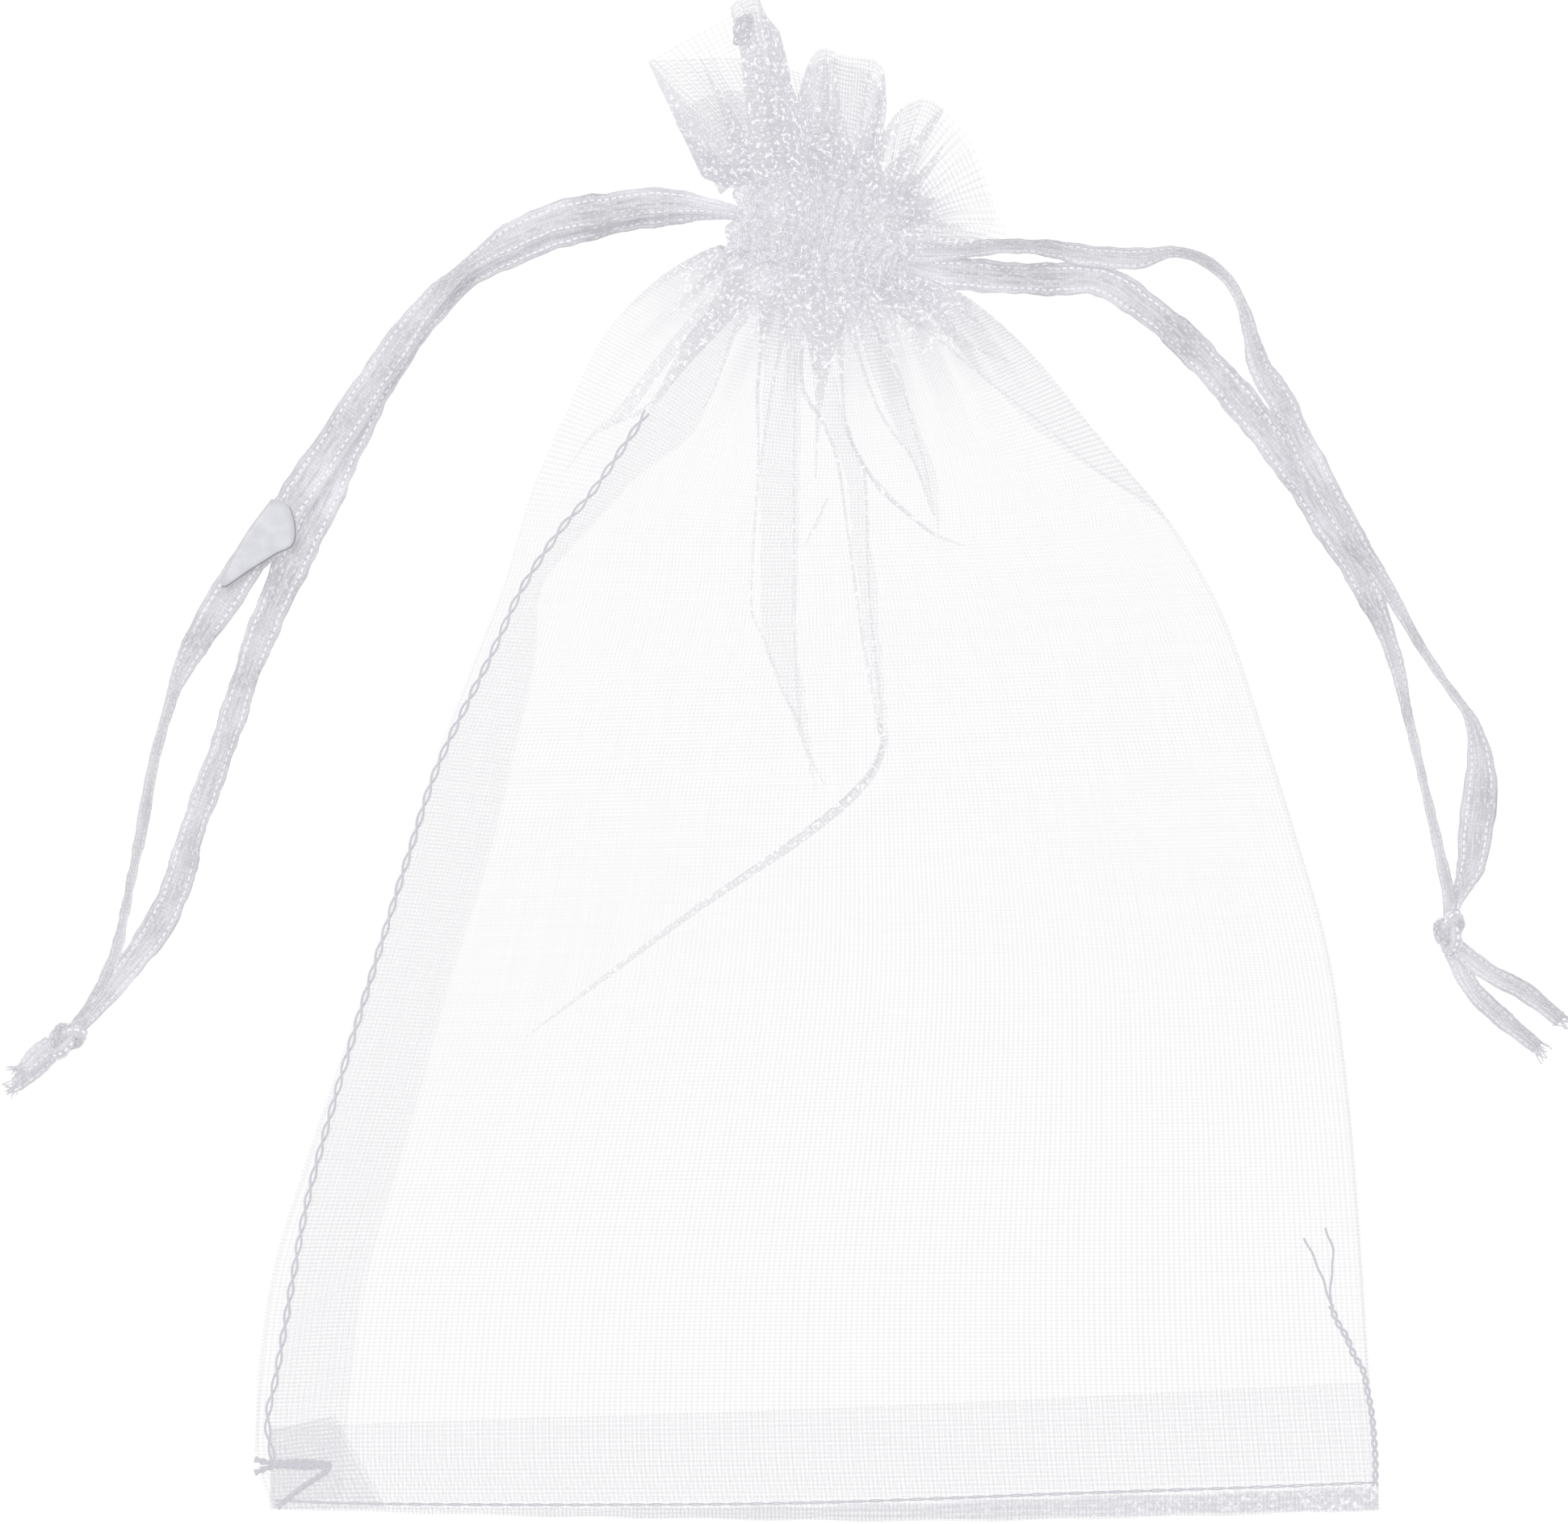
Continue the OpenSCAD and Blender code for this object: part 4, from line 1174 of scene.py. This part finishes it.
def add_turned_in_cloth(back):
    """The seam allowances, the rolled bottom edge and the folded corner."""
    height = height_finder(back)
    side = strip_cloth("side_allowance", SEAM_LINE + [ROLL_EDGE[0]], ALLOWANCE_EDGE, height, 0.15, ORGANZA)
    lay_flat(side, "side_seam_allowance")
    band = strip_cloth("bottom_band", BAND_EDGE, ROLL_EDGE, height, 0.2, ORGANZA, rows=180)
    lay_flat(band, "bottom_seam_allowance")
    grid = roll_grid(ROLL_EDGE, BOTTOM_EDGE)
    places = thread_places(grid, 9, 100)
    dense = np.broadcast_to(np.linspace(0.6, 2.8, len(grid))[:, None], grid.shape[:2])
    roll = grid_mesh("bottom_rolled_edge", grid, places, dense, ORGANZA)
    lay_flat(roll, "bottom_roll")
    corner = strip_cloth("corner_folded", [(-49.3, -60), (-49.3, -67)], [(-43.2, -58.6), (-38.5, -66.9)],
                         height, 0.5, ORGANZA, rows=40, columns=30, dense=1.7)
    belongs(corner, "pouch_back", "corner_fold", "organza")


# Threads on the cloth: the bottom seam, the tack at the left corner and the loose chain at the right
BOTTOM_SEAM = [(-48.6, -66.3), (-40, -66.6), (-20, -66.7), (0, -66.5), (22, -65.7), (40, -65.1),
               (50, -64.7)]
TACK = [[(-50.4, -62.6), (-49, -62.9), (-46, -62.8), (-43.6, -63)],
        [(-50.4, -63.8), (-48.6, -63.2), (-46, -63.3), (-43.6, -63.3), (-46, -65), (-48.4, -66.9)]]
CHAIN = [(50.2, -65), (50.2, -62.4), (49.9, -58.7), (49.5, -56.5), (49.1, -54.6), (48.3, -53.3),
         (47.6, -51.6), (46.8, -50.3), (46.2, -48.8)]
CHAIN_TIPS = [[(46.3, -49), (45.8, -47.4), (44.9, -45), (43.8, -42.7)],
              [(46.2, -48.8), (46.2, -46.6), (46.4, -44), (45.7, -41.8)]]


def over_cloth(path, height, lift=0.12, steps=3.0):
    """The path in mm laid on the cloth, with a point every 1 / steps mm."""
    path = np.array(path, float)
    even = smooth_path(path, max(int(lengths(path[:, :2]).sum() * steps), 4))
    return [(x, y, height(x, y) + lift) for x, y in even[:, :2]]


def stitch_row(height, lift, place):
    """Paths in mm of a row of gathering thread, place mm up the channel, with three loose loops."""
    x = np.linspace(-7.6, 7.6, 90)
    y = place + 0.5 * np.sin(1.1 * x + place) + 0.35 * np.sin(2.7 * x) * np.sin(0.5 * x + place)
    spots = from_neck(x + 0.5 * np.sin(2.3 * x + place), y)
    paths = [[(a, b, max(height(a, b) + lift + 0.2 * math.sin(2 * a), 0.15)) for a, b in spots]]
    loop = np.linspace(0, 5, 40)
    for middle in (-4.6, 0.6, 4.2):
        swing = from_neck(middle + 1.5 * np.cos(loop), place + 0.9 * np.sin(1.3 * loop + middle))
        paths.append([(a, b, max(height(a, b) + lift, 0.15)) for a, b in swing])
    return paths


def tangled_thread():
    """Paths in mm of the loose thread caught near the tip of the spike."""
    turn = np.linspace(0, 2 * math.pi * 1.4, 26)
    paths = []
    for k in range(5):
        x = -6.5 + 0.7 * np.cos(turn * 1.1 + k) + 0.25 * np.sin(3 * turn + k)
        y = 65.2 + 1.1 * np.sin(turn + 1.7 * k) + 0.3 * np.cos(2 * turn)
        paths.append([(a, b, 9.0 + 0.2 * math.sin(3 * c)) for a, b, c in zip(x, y, turn)])
    return paths


def add_threads(front, back):
    """The seams, the back tack, the loose chain, the stitch rows and the tangle on the spike."""
    on_front, on_back = height_finder(front), height_finder(back)
    twin, single = thread_tree(2), thread_tree(1)

    def sew(name, paths, node, body="pouch_back", tree=twin, material=THREAD, **sizes):
        belongs(lay_thread(name, paths, tree, material, **sizes), body, node, "thread")

    sew("side_seam", [over_cloth(SEAM_LINE[2:], on_back, 0.2)], "side_seam_thread",
        radius=0.12, twist=0.23)
    sew("bottom_seam", [over_cloth(BOTTOM_SEAM, on_front, 0.15)], "bottom_seam_thread",
        radius=0.07, twist=0.09, twist_length=3.6)
    tack = [over_cloth(line, on_front, lift) for line, lift in zip(TACK, (0.2, 0.3))]
    sew("back_tack", tack, "corner_back_tack", radius=0.16, twist=0.18, twist_length=1.5)
    sew("loose_chain", [over_cloth(CHAIN, on_front, 0.25)], "loose_thread_chain",
        radius=0.13, twist=0.2, twist_length=1.9, step=0.2)
    sew("loose_chain_tips", [over_cloth(tip, on_front, 0.25) for tip in CHAIN_TIPS], None,
        tree=single, radius=0.11, twist=0.06, twist_length=2.6)
    rows = (("upper", CHANNEL_HALF - 0.5), ("lower", 0.6 - CHANNEL_HALF))
    for layer, height, lift in (("front", on_front, 0.5), ("back", on_back, -0.35)):
        for row, place in rows:
            paths = stitch_row(height, lift, place)
            sew(f"{layer}_{row}_stitching", paths, f"{layer}_{row}_stitches", f"pouch_{layer}",
                tree=single, material=STITCH, radius=0.06, twist=0.04, twist_length=1.5, step=0.25)
    sew("frill_thread_tangle", tangled_thread(), None, "pouch_front", tree=single,
        radius=0.06, twist=0.0, twist_length=2, step=0.15)


def neck_ribbon(name, side, height, across, reach, body, node):
    """A drawstring's ply inside the channel, gathered up with the cloth."""
    x = np.linspace(1, reach, 60)
    spots = from_neck(side * x, np.full(60, across) + 0.15 * np.sin(2.2 * x))
    wide = 0.34 - 0.12 * soft_step(x, reach - 4, reach)
    path = np.column_stack([spots, np.full(60, height) + 0.1 * np.sin(3 * x), np.zeros(60), wide])
    piece, _ = ribbon_strip(name, path, HIDDEN_RIBBON)
    belongs(piece, body, node, "ribbon")


# The drawstrings' plies inside the channel: side, height, place up the channel, reach, body and node
NECK_RIBBONS = {
    "left_ribbon_in_channel": (-1, 1.6, 0.3, 7.8, "left_drawstring", "left_ribbon_run"),
    "right_ribbon_in_channel": (1, 3.3, -0.2, 7.6, "right_drawstring", "right_ribbon_run"),
    "left_ribbon_in_front": (-1, 4.9, 0.3, 7.6, "pouch_front", "front_left_ribbon_run"),
    "right_ribbon_in_front": (1, 5.1, -0.2, 7.6, "pouch_front", "front_right_ribbon_run"),
}


def tail_and_fray(name, tree):
    """A tail of ribbon with its frayed end, each with the CAD node that it stands for."""
    path = smooth_path(TAILS[f"{name}_tail"], 30)
    full = np.column_stack([path, np.full(30, 8.0), 0.48 + 0.07 * np.sin(np.linspace(0, 4, 30))])
    tail, _ = ribbon_strip(f"{name}_tail_end", full, RIBBON, columns=7, curl=0.15)
    ahead = path[-1] - path[-4]
    heading = math.degrees(math.atan2(ahead[1], ahead[0]))
    return [(tail, f"{name}_tail"), (frayed_ends(f"{name}_fray", path[-1], heading, tree, THREAD), None)]


def loop_end(side, tree):
    """The knot and tails at the end of a loop, and the fold in the left one. Returns the pieces."""
    knot = knot_mesh(f"{side}_overhand_knot", *KNOTS[side], RIBBON)
    pieces = [(knot, f"{side}_knot")]
    for length in ("long", "short"):
        pieces += tail_and_fray(f"{side}_{length}", tree)
    if side == "left":
        # A darker copy of the fold's outline, shifted a little and set just under it: a painted shadow
        # along the flap's right and lower edges.
        under = [(x + 0.11, y - 0.1) for x, y in LEFT_FOLD]
        pieces.append((folded_flap("left_outer_fold", LEFT_FOLD, 1.25, SATIN), None))
        pieces.append((folded_flap("left_outer_fold_painted_shadow", under, 1.08, FOLD_PAINTED_SHADOW, 0.06), None))
    for piece, node in pieces:
        belongs(piece, f"{side}_loop", node, "thread" if "fray" in piece.name else "ribbon")
    return [piece for piece, _ in pieces]


def add_strand(node, points, loose_end):
    """A free strand of ribbon in place of its CAD node."""
    side = node.split("_")[0]
    piece, centre = ribbon_strip(node + "_ribbon", smooth_path(points, 240), RIBBON)
    sign, z = (-1, 2 * MM) if side == "left" else (1, 3.4 * MM)
    start, end = from_neck(np.array([12.5, 17.5]) * sign, np.zeros(2)) * MM
    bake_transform(piece)
    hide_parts(node)
    path = centre[::4] * MM
    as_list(loose_end if "outer" in node else ())


def add_ribbons():
    """Both drawstrings, inside the channel and out."""
    tree = thread_tree(1)
    for name, place in NECK_RIBBONS.items():
        neck_ribbon(name, *place)
    ends = {side: loop_end(side, tree) for side in ("left", "right")}
    for node, points in STRANDS.items():
        add_strand(node, points, ends[node.split("_")[0]])


add_camera()
add_studio()
ORGANZA = organza("organza", 0.13)
FRILL = organza("gathered_organza", 0.205)
RIBBON = ribbon_cloth("ribbon", 0.34)
# The ribbon with more painted glow, so that its plies inside the channel stay pale under the gathered
# cloth.
HIDDEN_RIBBON = ribbon_cloth("ribbon_in_channel", 0.62)
SATIN = satin_side("ribbon_back", 0.5, 0.72)
# A darker tone of the ribbon's plain side, for the painted shadow under the fold.
FOLD_PAINTED_SHADOW = satin_side("ribbon_fold_painted_shadow", 0.28, 0.38)
THREAD = sewing_thread("thread", 0.26)
# The gathering thread gets more painted glow than the seam thread, to stay pale deep in the gathers.
STITCH = sewing_thread("gathering_thread", 0.4)
front_grid, back_grid = add_cloth()
for part in FRILL_PARTS:
    make_frill(*part)
add_turned_in_cloth(back_grid)
add_threads(front_grid, back_grid)
add_ribbons()
